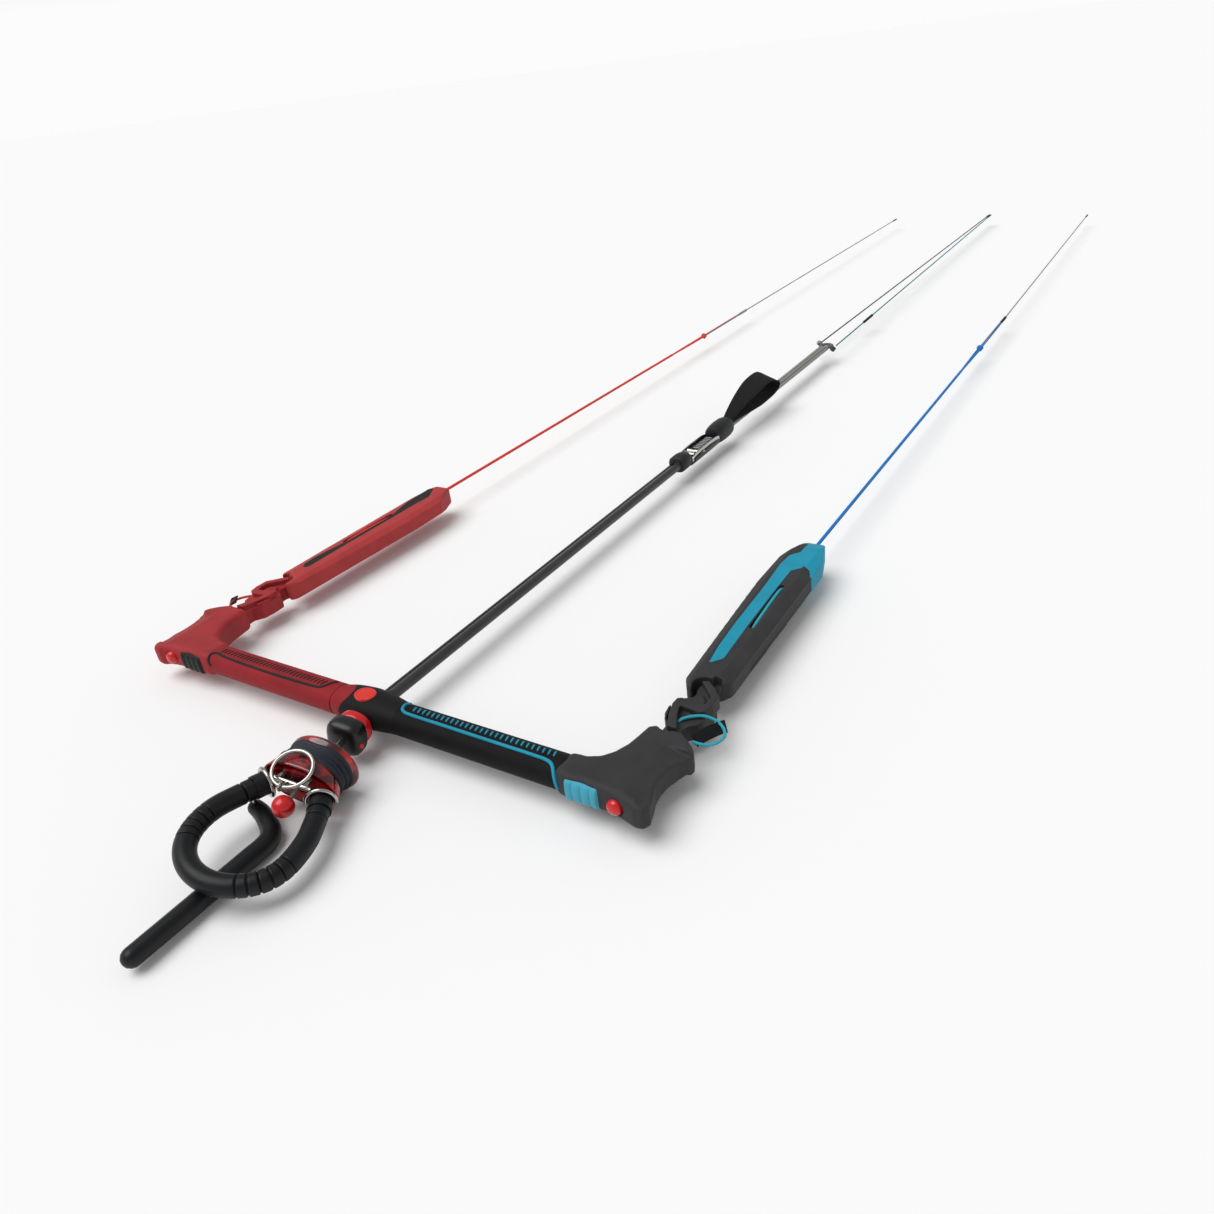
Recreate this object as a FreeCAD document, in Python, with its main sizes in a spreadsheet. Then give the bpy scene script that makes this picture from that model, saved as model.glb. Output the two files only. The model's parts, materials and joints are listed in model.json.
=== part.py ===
import FreeCAD, Part
import math
import os
import Sketcher

# Kitesurf control bar: bar with folding floats, depower line with cleat and quick release.
# Frame: +X along the bar, +Y towards the kite, +Z up, origin at the centre of the hub's flat underside.

V = FreeCAD.Vector
X_AXIS = V(1, 0, 0)
Y_AXIS = V(0, 1, 0)
Z_AXIS = V(0, 0, 1)

# name, value in mm (or degrees), what it is
SIZES = (
    ("axis_height", 14.0, "bar axis above the hub's underside"),
    ("hub_half", 34.0, "hub, centre to end along the bar"),
    ("hub_front", 19.0, "hub depth on the kite side"),
    ("hub_back", 15.5, "hub depth on the rider side"),
    ("hub_round", 7.0, "hub edge round"),
    ("grip_end", 186.0, "bar centre to the outer end of a grip"),
    ("grip_width", 27.0, "grip section along Y"),
    ("grip_height", 23.0, "grip section along Z"),
    ("trim_depth", 1.4, "depth of the contrast inlay in a grip"),
    ("trim_proud", 0.3, "inlay height above the grip"),
    ("bar_radius", 9.0, "bar tube outer radius"),
    ("bar_wall", 1.6, "bar tube wall"),
    ("bar_inner", 16.0, "bar centre to the inner end of a bar tube"),
    ("bar_outer", 194.0, "bar centre to the outer end of a bar tube"),
    ("end_thick", 24.0, "bar end thickness"),
    ("end_round", 5.0, "bar end edge round"),
    ("arm_offset", 235.0, "bar centre to the middle of an arm"),
    ("pad_depth", 8.5, "depth of a thumb pad behind the bar axis"),
    ("button_radius", 6.2, "end button radius"),
    ("button_travel", 3.0, "end button travel"),
    ("neck_pivot", 66.0, "bar axis to the pivot of a neck"),
    ("float_pivot", 120.0, "bar axis to the pivot of a float"),
    ("float_tip", 366.0, "bar axis to the tip of a float"),
    ("leader_offset", 228.5, "bar centre to where a leader leaves a float"),
    ("float_thick", 20.0, "float thickness"),
    ("float_bevel", 4.5, "float edge bevel"),
    ("strip_depth", 2.2, "depth of a float's strip"),
    ("neck_thick", 20.0, "neck link thickness"),
    ("knuckle_radius", 9.5, "neck knuckle radius"),
    ("socket_radius", 10.0, "knuckle socket radius"),
    ("leader_radius", 1.7, "leader line radius"),
    ("leader_rise", 3.5, "leader line above the bar axis in a float"),
    ("leader_split", 924.0, "bar axis to where a leader doubles back"),
    ("knot_distance", 1037.0, "bar axis to a leader knot"),
    ("sleeve_distance", 1178.0, "bar axis to a flying line's sleeve"),
    ("line_distance", 1206.0, "bar axis to the bare flying line"),
    ("line_end", 2074.0, "bar axis to the end of a steering line"),
    ("line_radius", 0.9, "flying line radius"),
    ("cover_radius", 4.6, "depower line cover radius"),
    ("cover_offset", 2.4, "depower line cover offset along X"),
    ("flag_radius", 2.5, "flag-out line cover radius"),
    ("flag_offset", -4.9, "flag-out line cover offset along X"),
    ("core_radius", 2.6, "depower line core radius"),
    ("bore_gap", 0.4, "gap round the covers in the hub bushing"),
    ("cleat_start", 520.0, "bar axis to the cleat's lower collar"),
    ("collar_start", 612.0, "bar axis to the cleat's upper collar"),
    ("collar_end", 656.0, "bar axis to the end of the upper collar"),
    ("ring_distance", 1013.0, "bar axis to the centre of the splitter ring"),
    ("centre_end", 2101.0, "bar axis to the end of the front lines"),
    ("release_yaw", 10.0, "release turned about Z, degrees"),
    ("release_roll", 10.0, "release rolled about its own axis, degrees"),
    ("hose_radius", 7.8, "chicken loop hose radius"),
    ("ferrule_radius", 8.7, "chicken loop ferrule radius"),
    ("loop_radius", 41.5, "chicken loop bend radius"),
    ("loop_centre", 146.0, "hub centre to the centre of the loop's bend"),
    ("finger_radius", 7.3, "chicken finger radius"),
    ("finger_drop", 17.5, "chicken finger below the loop's plane"),
    ("ball_radius", 8.0, "stopper ball radius"),
    ("shaft_radius", 3.0, "swivel shaft radius"),
)

doc = FreeCAD.newDocument("control_bar")
sheet = doc.addObject("Spreadsheet::Sheet", "Sizes")
for row, (alias, value, meaning) in enumerate(SIZES, start=1):
    sheet.set("A%d" % row, alias)
    sheet.set("B%d" % row, str(value))
    sheet.setAlias("B%d" % row, alias)
    sheet.set("C%d" % row, meaning)
doc.recompute()

parts = {}


def mm(alias):
    """Value of a cell of the size sheet."""
    return float(sheet.get(alias))


def bind(obj, prop, size):
    """Bind a property to an expression, or set it where the size is a plain number."""
    if isinstance(size, str):
        obj.setExpression(prop, size)
    else:
        setattr(obj, prop, size)


def keep(node, obj):
    """List an object as a sub-part."""
    obj.Label = node
    parts[node] = obj
    return obj


# ---------------------------------------------------------------- primitives and booleans

def cylinder(name, radius, length, start, direction=Z_AXIS):
    obj = doc.addObject("Part::Cylinder", name)
    bind(obj, "Radius", radius)
    bind(obj, "Height", length)
    obj.Placement = FreeCAD.Placement(start, FreeCAD.Rotation(Z_AXIS, direction))
    return obj


def rod(name, radius, start, end):
    """Round rod between two points."""
    run = end.sub(start)
    return cylinder(name, radius, run.Length, start, run)


def box(name, low, high):
    obj = doc.addObject("Part::Box", name)
    obj.Length = high[0] - low[0]
    obj.Width = high[1] - low[1]
    obj.Height = high[2] - low[2]
    obj.Placement.Base = V(*low)
    return obj


def side_box(name, side, low, high):
    """Box on the right of the bar, or its mirror image on the left."""
    if side > 0:
        return box(name, low, high)
    return box(name, (-high[0], low[1], low[2]), (-low[0], high[1], high[2]))


def ball(name, radius, centre):
    obj = doc.addObject("Part::Sphere", name)
    bind(obj, "Radius", radius)
    obj.Placement.Base = centre
    return obj


def torus(name, ring, wire, centre, normal=Z_AXIS):
    obj = doc.addObject("Part::Torus", name)
    bind(obj, "Radius1", ring)
    bind(obj, "Radius2", wire)
    obj.Placement = FreeCAD.Placement(centre, FreeCAD.Rotation(Z_AXIS, normal))
    return obj


def fuse(name, *shapes):
    obj = doc.addObject("Part::MultiFuse", name)
    obj.Shapes = list(shapes)
    return obj


def common(name, *shapes):
    obj = doc.addObject("Part::MultiCommon", name)
    obj.Shapes = list(shapes)
    return obj


def group(name, *shapes):
    """Separate solids held together as one sub-part."""
    obj = doc.addObject("Part::Compound", name)
    obj.Links = list(shapes)
    return obj


def cut(name, base, *tools):
    tool = tools[0]
    if len(tools) > 1:
        tool = fuse(name + "_cutter", *tools)
    obj = doc.addObject("Part::Cut", name)
    obj.Base = base
    obj.Tool = tool
    return obj


def tube_along(name, radius, wire):
    """Solid of round section swept along a wire of lines and tangent arcs."""
    first = wire.OrderedEdges[0]
    start = first.valueAt(first.FirstParameter)
    heading = first.tangentAt(first.FirstParameter)
    profile = Part.Wire(Part.makeCircle(radius, start, heading))
    obj = doc.addObject("Part::Feature", name)
    obj.Shape = wire.makePipeShell([profile], True, True)
    expected = math.pi * radius ** 2 * wire.Length
    print(name, "volume over section x length", round(obj.Shape.Volume / expected, 4))
    return obj


def rounded_route(points, radius):
    """Straight runs through the points, joined by tangent arcs."""
    edges = []
    last = points[0]
    for before, corner, after in zip(points, points[1:], points[2:]):
        inward = before.sub(corner).normalize()
        outward = after.sub(corner).normalize()
        half_turn = (math.pi - inward.getAngle(outward)) / 2
        reach = radius * math.tan(half_turn)
        arc_start = corner.add(V(inward).multiply(reach))
        arc_end = corner.add(V(outward).multiply(reach))
        middle = inward.add(outward).normalize()
        arc_middle = corner.add(middle.multiply(radius / math.cos(half_turn) - radius))
        edges.append(Part.LineSegment(last, arc_start).toShape())
        edges.append(Part.Arc(arc_start, arc_middle, arc_end).toShape())
        last = arc_end
    edges.append(Part.LineSegment(last, points[-1]).toShape())
    return Part.Wire(edges)


# ---------------------------------------------------------------- sketched bodies

def origin_plane(body, role):
    for feature in body.Origin.OriginFeatures:
        if feature.Role == role:
            return feature
    raise RuntimeError("no origin plane " + role)


def draw_outline(sketch, outline, side):
    """Closed outline of lines and three-point arcs; an arc is (middle point, end point)."""
    def place(point):
        return V(side * point[0], point[1], 0)

    first = place(outline[0])
    last = first
    for step in outline[1:] + outline[:1]:
        if isinstance(step[0], tuple):
            end = place(step[1])
            sketch.addGeometry(Part.Arc(last, place(step[0]), end), False)
        else:
            end = place(step)
            sketch.addGeometry(Part.LineSegment(last, end), False)
        last = end


def outline_body(name, outline, thickness, height, side=1, edge=None, bevel=False):
    """Body padded from an outline in the XY plane, centred at a height, its rims rounded or bevelled."""
    body = doc.addObject("PartDesign::Body", name)
    sketch = body.newObject("Sketcher::SketchObject", name + "_outline")
    sketch.AttachmentSupport = (origin_plane(body, "XY_Plane"), [""])
    sketch.MapMode = "FlatFace"
    draw_outline(sketch, outline, side)
    pad = body.newObject("PartDesign::Pad", name + "_pad")
    pad.Profile = sketch
    pad.SideType = "Symmetric"
    bind(pad, "Length", thickness)
    doc.recompute()
    if edge is not None:
        half = pad.Length.Value / 2
        rims = []
        for number, rim in enumerate(pad.Shape.Edges, start=1):
            if all(abs(abs(vertex.Z) - half) < 0.01 for vertex in rim.Vertexes):
                rims.append("Edge%d" % number)
        kind = "PartDesign::Chamfer" if bevel else "PartDesign::Fillet"
        finish = body.newObject(kind, name + "_rim")
        finish.Base = (pad, rims)
        bind(finish, "Size" if bevel else "Radius", edge)
    body.Placement.Base = V(0, 0, height)
    doc.recompute()
    return body


def oval_body(name, width, height, bore, start, length, side):
    """Oval bar along X with a round bore, bound to the sheet."""
    body = doc.addObject("PartDesign::Body", name)
    sketch = body.newObject("Sketcher::SketchObject", name + "_section")
    sketch.AttachmentSupport = (origin_plane(body, "YZ_Plane"), [""])
    sketch.MapMode = "FlatFace"
    sketch.addGeometry(Part.Ellipse(V(0, 0, 0), width / 2, height / 2), False)
    circle = sketch.addGeometry(Part.Circle(V(0, 0, 0), Z_AXIS, mm("bar_radius")), False)
    sketch.addConstraint(Sketcher.Constraint("Radius", circle, mm("bar_radius")))
    sketch.setExpression("Constraints[0]", bore)
    pad = body.newObject("PartDesign::Pad", name + "_pad")
    pad.Profile = sketch
    bind(pad, "Length", length)
    pad.Reversed = side < 0
    body.Placement.Base = V(side * start, 0, mm("axis_height"))
    doc.recompute()
    return body


AXIS_Z = mm("axis_height")
HUB_HALF = mm("hub_half")
GRIP_END = mm("grip_end")
SIDES = (("left", -1), ("right", 1))


# ---------------------------------------------------------------- hub

def twin_bore(name, start, end, grow):
    """The depower line's two covers as one solid, each radius grown by the same amount."""
    covers = []
    for cover in ("cover", "flag"):
        covers.append(cylinder(
            "%s_%s" % (name, cover),
            "Sizes.%s_radius + %g" % (cover, grow),
            end - start,
            V(mm(cover + "_offset"), start, AXIS_Z),
            Y_AXIS,
        ))
    return fuse(name, *covers)


BUSH_WALL = 1.8
CAP_RADIUS = 8.0
CAP_SEAT = 1.5
CAP_PROUD = 1.0


def build_hub():
    end = mm("hub_half")
    front = mm("hub_front")
    back = mm("hub_back")
    outline = [
        (-end, -13.5), (-20, -back), (20, -back), (end, -13.5),
        (end, 14), (17, front), (-17, front), (-end, 14),
    ]
    block = outline_body("hub_block", outline, "2 * Sizes.axis_height", AXIS_Z, 1, "Sizes.hub_round")
    bore = twin_bore("hub_bore", -back - 1, front + 1, mm("bore_gap") + BUSH_WALL)
    cap_seat = cylinder("cap_seat", CAP_RADIUS, 5, V(0, 0, 2 * AXIS_Z - CAP_SEAT))
    sockets = []
    for name, side in SIDES:
        start = V(side * mm("bar_inner"), 0, AXIS_Z)
        sockets.append(cylinder("tube_socket_" + name, "Sizes.bar_radius", 40, start, X_AXIS * side))
    keep("centre_hub", cut("centre_hub", block, bore, cap_seat, *sockets))

    sleeve = twin_bore("bushing_sleeve", -back, front, mm("bore_gap") + BUSH_WALL)
    bore = twin_bore("bushing_bore", -back - 1, front + 1, mm("bore_gap"))
    keep("hub_bushing", cut("hub_bushing", sleeve, bore))

    keep("centre_cap", cylinder(
        "centre_cap", CAP_RADIUS, CAP_SEAT + CAP_PROUD, V(0, 0, 2 * AXIS_Z - CAP_SEAT)))

    tubes = []
    for name, side in SIDES:
        start = V(side * mm("bar_inner"), 0, AXIS_Z)
        length = "Sizes.bar_outer - Sizes.bar_inner"
        outer = cylinder("tube_outer_" + name, "Sizes.bar_radius", length, start, X_AXIS * side)
        inner = cylinder(
            "tube_inner_" + name, "Sizes.bar_radius - Sizes.bar_wall", length, start, X_AXIS * side)
        tubes.append(cut("tube_" + name, outer, inner))
    keep("bar_tubes", group("bar_tubes", *tubes))


# ---------------------------------------------------------------- grips

RIB_COUNT = 28
RIB_FIRST = 62.0
RIB_PITCH = 4.15
RIB_WIDTH = 1.5
RIB_LENGTH = 9.5
RIB_MIDDLE = 1.5
RIB_SLANT = 24.0
TRIM_WIDTH = 2.2
TRIM_LOW = 6.0


def trim_pattern(name, side):
    """Upright prisms that mark the outline channel and the row of slanted ribs."""
    low = AXIS_Z - TRIM_LOW
    high = AXIS_Z + 20
    line = ((53, 7), (58, -6.5), (62, -9), (168, -9), (176, -10.5), (179, -15))
    prisms = []
    half = TRIM_WIDTH / 2
    for number, (start, end) in enumerate(zip(line, line[1:])):
        run = V(end[0] - start[0], end[1] - start[1], 0)
        prism = box("%s_run%d" % (name, number), (0, -half, low), (run.Length, half, high))
        turn = math.degrees(math.atan2(run.y, side * run.x))
        prism.Placement.Base = V(side * start[0], start[1], low)
        prism.Placement.Rotation = FreeCAD.Rotation(Z_AXIS, turn)
        prism.Placement.Base = prism.Placement.multVec(V(0, -half, 0))
        prisms.append(prism)
        prisms.append(cylinder(
            "%s_bend%d" % (name, number), half, high - low, V(side * end[0], end[1], low)))
    for number in range(RIB_COUNT):
        centre = V(side * (RIB_FIRST + RIB_PITCH * number), RIB_MIDDLE, AXIS_Z)
        rib = box("%s_rib%d" % (name, number), (0, 0, 0), (RIB_WIDTH, RIB_LENGTH, 20))
        turn = FreeCAD.Rotation(Z_AXIS, side * RIB_SLANT)
        rib.Placement = FreeCAD.Placement(centre, turn)
        rib.Placement.Base = rib.Placement.multVec(V(-RIB_WIDTH / 2, -RIB_LENGTH / 2, 0))
        prisms.append(rib)
    return fuse(name, *prisms)


def build_grip(name, side):
    length = "Sizes.grip_end - Sizes.hub_half"
    width = mm("grip_width")
    height = mm("grip_height")
    proud = 2 * mm("trim_proud")
    depth = 2 * mm("trim_depth")
    bore = "Sizes.bar_radius"
    foam = oval_body("foam_" + name, width, height, bore, HUB_HALF, length, side)
    skin = oval_body(
        "skin_" + name, width + proud, height + proud, bore, HUB_HALF, length, side)
    under = oval_body("under_" + name, width - depth, height - depth, bore, HUB_HALF, length, side)
    shell = cut("trim_shell_" + name, skin, under)
    trim = common("grip_trim_" + name, shell, trim_pattern("trim_" + name, side))
    keep("grip_trim_" + name, trim)
    keep("grip_" + name, cut("grip_" + name, foam, trim))


# ---------------------------------------------------------------- bar ends

PAD_LOW = 195.5
PAD_HIGH = 222.5
PAD_PROUD = 15.0
PAD_RIBS = 4
PAD_RIB_RADIUS = 3.6
PAD_HALF_HEIGHT = 9.5
BUTTON_FACE = -17.5
BUTTON_SEAT = -6.0
BUTTON_BORE_END = 2.5


def end_outline():
    """Bar end from above: root, nose, scooped outer side, horn and front face of the arm."""
    return [
        (GRIP_END, -12.5), (244, -17.5), ((260, -18.5), (262, -7)), ((254, 14), (259, 33)),
        ((267.5, 42), (261, 53)), (248, mm("neck_pivot") - 3.5), (227, mm("neck_pivot") - 2.5), (219.5, 57),
        ((212, 24), (194, 13.5)), (GRIP_END, 12.5),
    ]


def build_bar_end(name, side):
    pivot = V(side * mm("arm_offset"), mm("neck_pivot"), AXIS_Z - 20)
    button_at = side * (mm("arm_offset") + 1)
    block = outline_body(
        "end_block_" + name, end_outline(), "Sizes.end_thick", AXIS_Z, side, "Sizes.end_round")
    socket = cylinder("end_socket_" + name, "Sizes.socket_radius", 40, pivot)
    tube_bore = cylinder(
        "end_bore_" + name, "Sizes.bar_radius", "Sizes.bar_outer - Sizes.grip_end + 5",
        V(side * (GRIP_END - 5), 0, AXIS_Z), X_AXIS * side)
    pad_seat = side_box(
        "pad_seat_" + name, side, (PAD_LOW, -30, AXIS_Z - 20), (PAD_HIGH, -mm("pad_depth"), AXIS_Z + 20))
    button_bore = cylinder(
        "button_bore_" + name, "Sizes.button_radius + 0.4", BUTTON_BORE_END + 30,
        V(button_at, -30, AXIS_Z), Y_AXIS)
    keep("bar_end_" + name, cut(
        "bar_end_" + name, block, socket, tube_bore, pad_seat, button_bore))

    plate = side_box(
        "pad_plate_" + name, side,
        (PAD_LOW, -PAD_PROUD, AXIS_Z - PAD_HALF_HEIGHT), (PAD_HIGH, -mm("pad_depth"), AXIS_Z + PAD_HALF_HEIGHT))
    ribs = [plate]
    pitch = (PAD_HIGH - PAD_LOW) / PAD_RIBS
    for number in range(PAD_RIBS):
        at = V(side * (PAD_LOW + pitch * (number + 0.5)), -PAD_PROUD + 1.2, AXIS_Z - PAD_HALF_HEIGHT)
        ribs.append(cylinder(
            "pad_rib_%s_%d" % (name, number), pitch / 2 - 0.15, 2 * PAD_HALF_HEIGHT, at))
    keep("thumb_pad_" + name, fuse("thumb_pad_" + name, *ribs))

    stem = cylinder(
        "button_stem_" + name, "Sizes.button_radius", BUTTON_SEAT - BUTTON_FACE,
        V(button_at, BUTTON_FACE, AXIS_Z), Y_AXIS)
    dome_radius = 9.0
    dome_centre = V(button_at, BUTTON_FACE + 6.5, AXIS_Z)
    dome = common(
        "button_dome_" + name, ball("button_round_" + name, dome_radius, dome_centre),
        cylinder(
            "button_limit_" + name, "Sizes.button_radius", 5, V(button_at, BUTTON_FACE - 4, AXIS_Z), Y_AXIS))
    keep("end_button_" + name, fuse("end_button_" + name, stem, dome))


def build_button_spring(name, side):
    """Coil spring behind an end button."""
    coil_radius = 4.2
    wire_radius = 0.45
    start = BUTTON_SEAT + wire_radius + 0.1
    height = BUTTON_BORE_END - BUTTON_SEAT - 2 * wire_radius - 0.2
    helix = Part.makeHelix(height / 4, height, coil_radius)
    profile = Part.Wire(Part.makeCircle(wire_radius, V(coil_radius, 0, 0), Y_AXIS))
    coil = doc.addObject("Part::Feature", "button_spring_" + name)
    coil.Shape = Part.Wire(helix).makePipeShell([profile], True, True)
    at = V(side * (mm("arm_offset") + 1), start, AXIS_Z)
    coil.Placement = FreeCAD.Placement(at, FreeCAD.Rotation(Z_AXIS, Y_AXIS))
    keep("button_spring_" + name, coil)


# ---------------------------------------------------------------- necks, floats and bungees

SLOT_START = 205.0
SLOT_END = 280.0
CAP_START = 318.0
CAP_INNER = 224.0


def build_neck(name, side):
    middle = side * mm("arm_offset")
    low = mm("neck_pivot")
    high = mm("float_pivot")
    thick = mm("neck_thick")
    offset = mm("arm_offset")
    outline = [
        (offset - 8, low + 7), (offset + 11, low + 11), (offset + 15.5, low + 16), (offset + 15.5, low + 44),
        (offset + 11, low + 47.5), (offset - 7, low + 37.5), (offset - 11.5, low + 33), (offset - 12.5, low + 22),
        (offset - 11.5, low + 10),
    ]
    link = outline_body("neck_link_" + name, outline, "Sizes.neck_thick", AXIS_Z, side, 2.5)
    knuckles = [link]
    for number, pivot in enumerate((low, high)):
        knuckles.append(cylinder(
            "neck_knuckle_%s_%d" % (name, number), "Sizes.knuckle_radius", thick - 2,
            V(middle, pivot, AXIS_Z - thick / 2 + 1)))
    knuckles.append(box(
        "neck_web_" + name, (middle - 5.5, low, AXIS_Z - thick / 2 + 1), (middle + 5.5, high, AXIS_Z + thick / 2 - 1)))
    keep("neck_" + name, fuse("neck_" + name, *knuckles))


def float_outline():
    """Float from above: slanted shoulder by the neck, nearly straight outer side, widening inner side."""
    start = mm("float_pivot")
    tip = mm("float_tip")
    return [
        (217, start - 6.5), (230, start - 6.5), (251.5, start + 13), (248, tip - 34), (238, tip),
        (219, tip), (206, tip - 32), (206, 285),
    ]


def strip_outline(has_cap):
    """Contrast strip on top of a float, on the inner side of the slot; the capped one runs into its cap."""
    if has_cap:
        return [
            (225.6, 145), (234, 155), (233, 196), (231.8, 200), (229.1, 285), (229.5, 306), (234, CAP_START),
            (234, 342), (CAP_INNER, 341), (215.5, 333), (214.6, 315), (217.9, 270), (219.8, 210), (222.4, 170),
        ]
    return [
        (229.5, 152), (234, 146), (240.5, 158), (238, 182), (231.8, 200), (229.1, 285), (235, 306), (241, 318),
        (240.5, 356), (232, 345), (224, 330), (225.3, 312), (225.8, 267), (228.3, 208),
    ]


def build_float(name, side):
    """Foam float round the leader line, which shows in a slot on top."""
    start = mm("float_pivot")
    rise = AXIS_Z + mm("leader_rise")
    top = AXIS_Z + mm("float_thick") / 2
    block = outline_body(
        "float_block_" + name, float_outline(), "Sizes.float_thick", AXIS_Z, side, "Sizes.float_bevel", True)
    socket = cylinder(
        "float_socket_" + name, "Sizes.socket_radius", 40, V(side * mm("arm_offset"), start, AXIS_Z - 20))
    line_start = V(side * 237.5, start + mm("socket_radius") + 0.5, rise)
    line_exit = V(side * mm("leader_offset"), mm("float_tip"), rise)
    along = V(line_exit.sub(line_start)).normalize()
    line_bore = rod("float_bore_" + name, "Sizes.leader_radius", line_start.sub(along * 5), line_exit.add(along * 5))
    slot = outline_body(
        "float_slot_" + name,
        [(232.4, SLOT_START), (236.8, SLOT_START), (234.1, SLOT_END), (229.7, SLOT_END)],
        2 * (top + 5 - rise), top + 5, side)
    has_cap = side > 0
    depth = mm("strip_depth")
    strip_height = top - depth / 2
    inlay = outline_body(
        "strip_inlay_" + name, strip_outline(has_cap), "Sizes.strip_depth", strip_height, side)
    seat = outline_body(
        "strip_seat_" + name, strip_outline(has_cap), "Sizes.strip_depth", strip_height, side)
    cutters = [socket, line_bore, slot, seat]
    if has_cap:
        limits = (CAP_INNER, CAP_START, AXIS_Z - 20), (260, mm("float_tip") + 1, AXIS_Z + 20)
        cutters.append(box("cap_room_" + name, *limits))
        cap_block = outline_body(
            "cap_block_" + name, float_outline(), "Sizes.float_thick", AXIS_Z, side, "Sizes.float_bevel", True)
        cap = common("cap_shape_" + name, cap_block, box("cap_limits_" + name, *limits))
        cap_bore = rod(
            "cap_bore_" + name, "Sizes.leader_radius", line_start.sub(along * 5), line_exit.add(along * 5))
        inlay = fuse("strip_and_cap_" + name, inlay, cut("cap_bored_" + name, cap, cap_bore))
    keep("float_strip_" + name, inlay)
    keep("float_" + name, cut("float_" + name, block, *cutters))
    keep("leader_inner_" + name, rod(
        "leader_inner_" + name, "Sizes.leader_radius", line_start, line_exit.sub(along * 0.5)))


def build_bungee(name, side):
    """Elastic loop on the outer side of a neck, with a webbing pull tab."""
    def at(x, y):
        return V(side * x, y, AXIS_Z)

    wire = Part.Wire([
        Part.LineSegment(at(252.1, 93), at(258, 94)).toShape(),
        Part.Arc(at(258, 94), at(271, 82), at(258, 70.5)).toShape(),
        Part.LineSegment(at(258, 70.5), at(247, 72)).toShape(),
    ])
    cord = keep("bungee_" + name, tube_along("bungee_" + name, 1.3, wire))
    tab = side_box("tab_block_" + name, side, (264.5, 74, AXIS_Z - 3.6), (275.5, 90, AXIS_Z + 3.6))
    keep("bungee_tab_" + name, cut("bungee_tab_" + name, tab, cord))


# ---------------------------------------------------------------- steering lines

LEADER_KNOT_X = 223.2
SLEEVE_X = 222.5
LINE_END_X = 213.5
STRAND_GAP = 1.5


def build_steering_line(name, side):
    def at(x, y, height=AXIS_Z):
        return V(side * x, y, height)

    tip = at(mm("leader_offset"), mm("float_tip") + 1.4, AXIS_Z + mm("leader_rise"))
    knot = at(LEADER_KNOT_X, mm("knot_distance"))
    run = knot.sub(tip)
    share = (mm("leader_split") - tip.y) / run.y
    split = tip.add(V(run).multiply(share))
    strands = [rod("leader_single_" + name, "Sizes.leader_radius", tip, split)]
    for number, shift in enumerate((-STRAND_GAP, STRAND_GAP)):
        strands.append(rod(
            "leader_double_%s_%d" % (name, number), 1.4, split.sub(V(0, 4, 0)), knot.add(V(shift, 0, 0))))
    strands.append(ball("leader_knot_" + name, 4.4, knot))
    keep("leader_" + name, fuse("leader_" + name, *strands))

    sleeve = at(SLEEVE_X, mm("sleeve_distance"))
    pigtail = []
    for number, shift in enumerate((-1.3, 1.3)):
        pigtail.append(rod(
            "pigtail_strand_%s_%d" % (name, number), 1.0,
            knot.add(V(shift, 4.4, 0)), sleeve.add(V(shift * 0.85, 0, 0))))
    keep("pigtail_" + name, group("pigtail_" + name, *pigtail))

    bare = at(SLEEVE_X, mm("line_distance"))
    end = at(LINE_END_X, mm("line_end"))
    keep("flying_line_" + name, fuse(
        "flying_line_" + name,
        rod("line_sleeve_" + name, 2.1, sleeve, bare),
        rod("line_bare_" + name, "Sizes.line_radius", bare.sub(V(0, 1, 0)), end),
        rod("line_tip_" + name, 1.5, end.sub(V(0, 24, 0)), end)))


# ---------------------------------------------------------------- centre line, cleat and trim

COVER_START = -13.0
RAIL_HALF = 10.5
RAIL_THICK = 2.0
STRAND_RADIUS = 1.6


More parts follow.
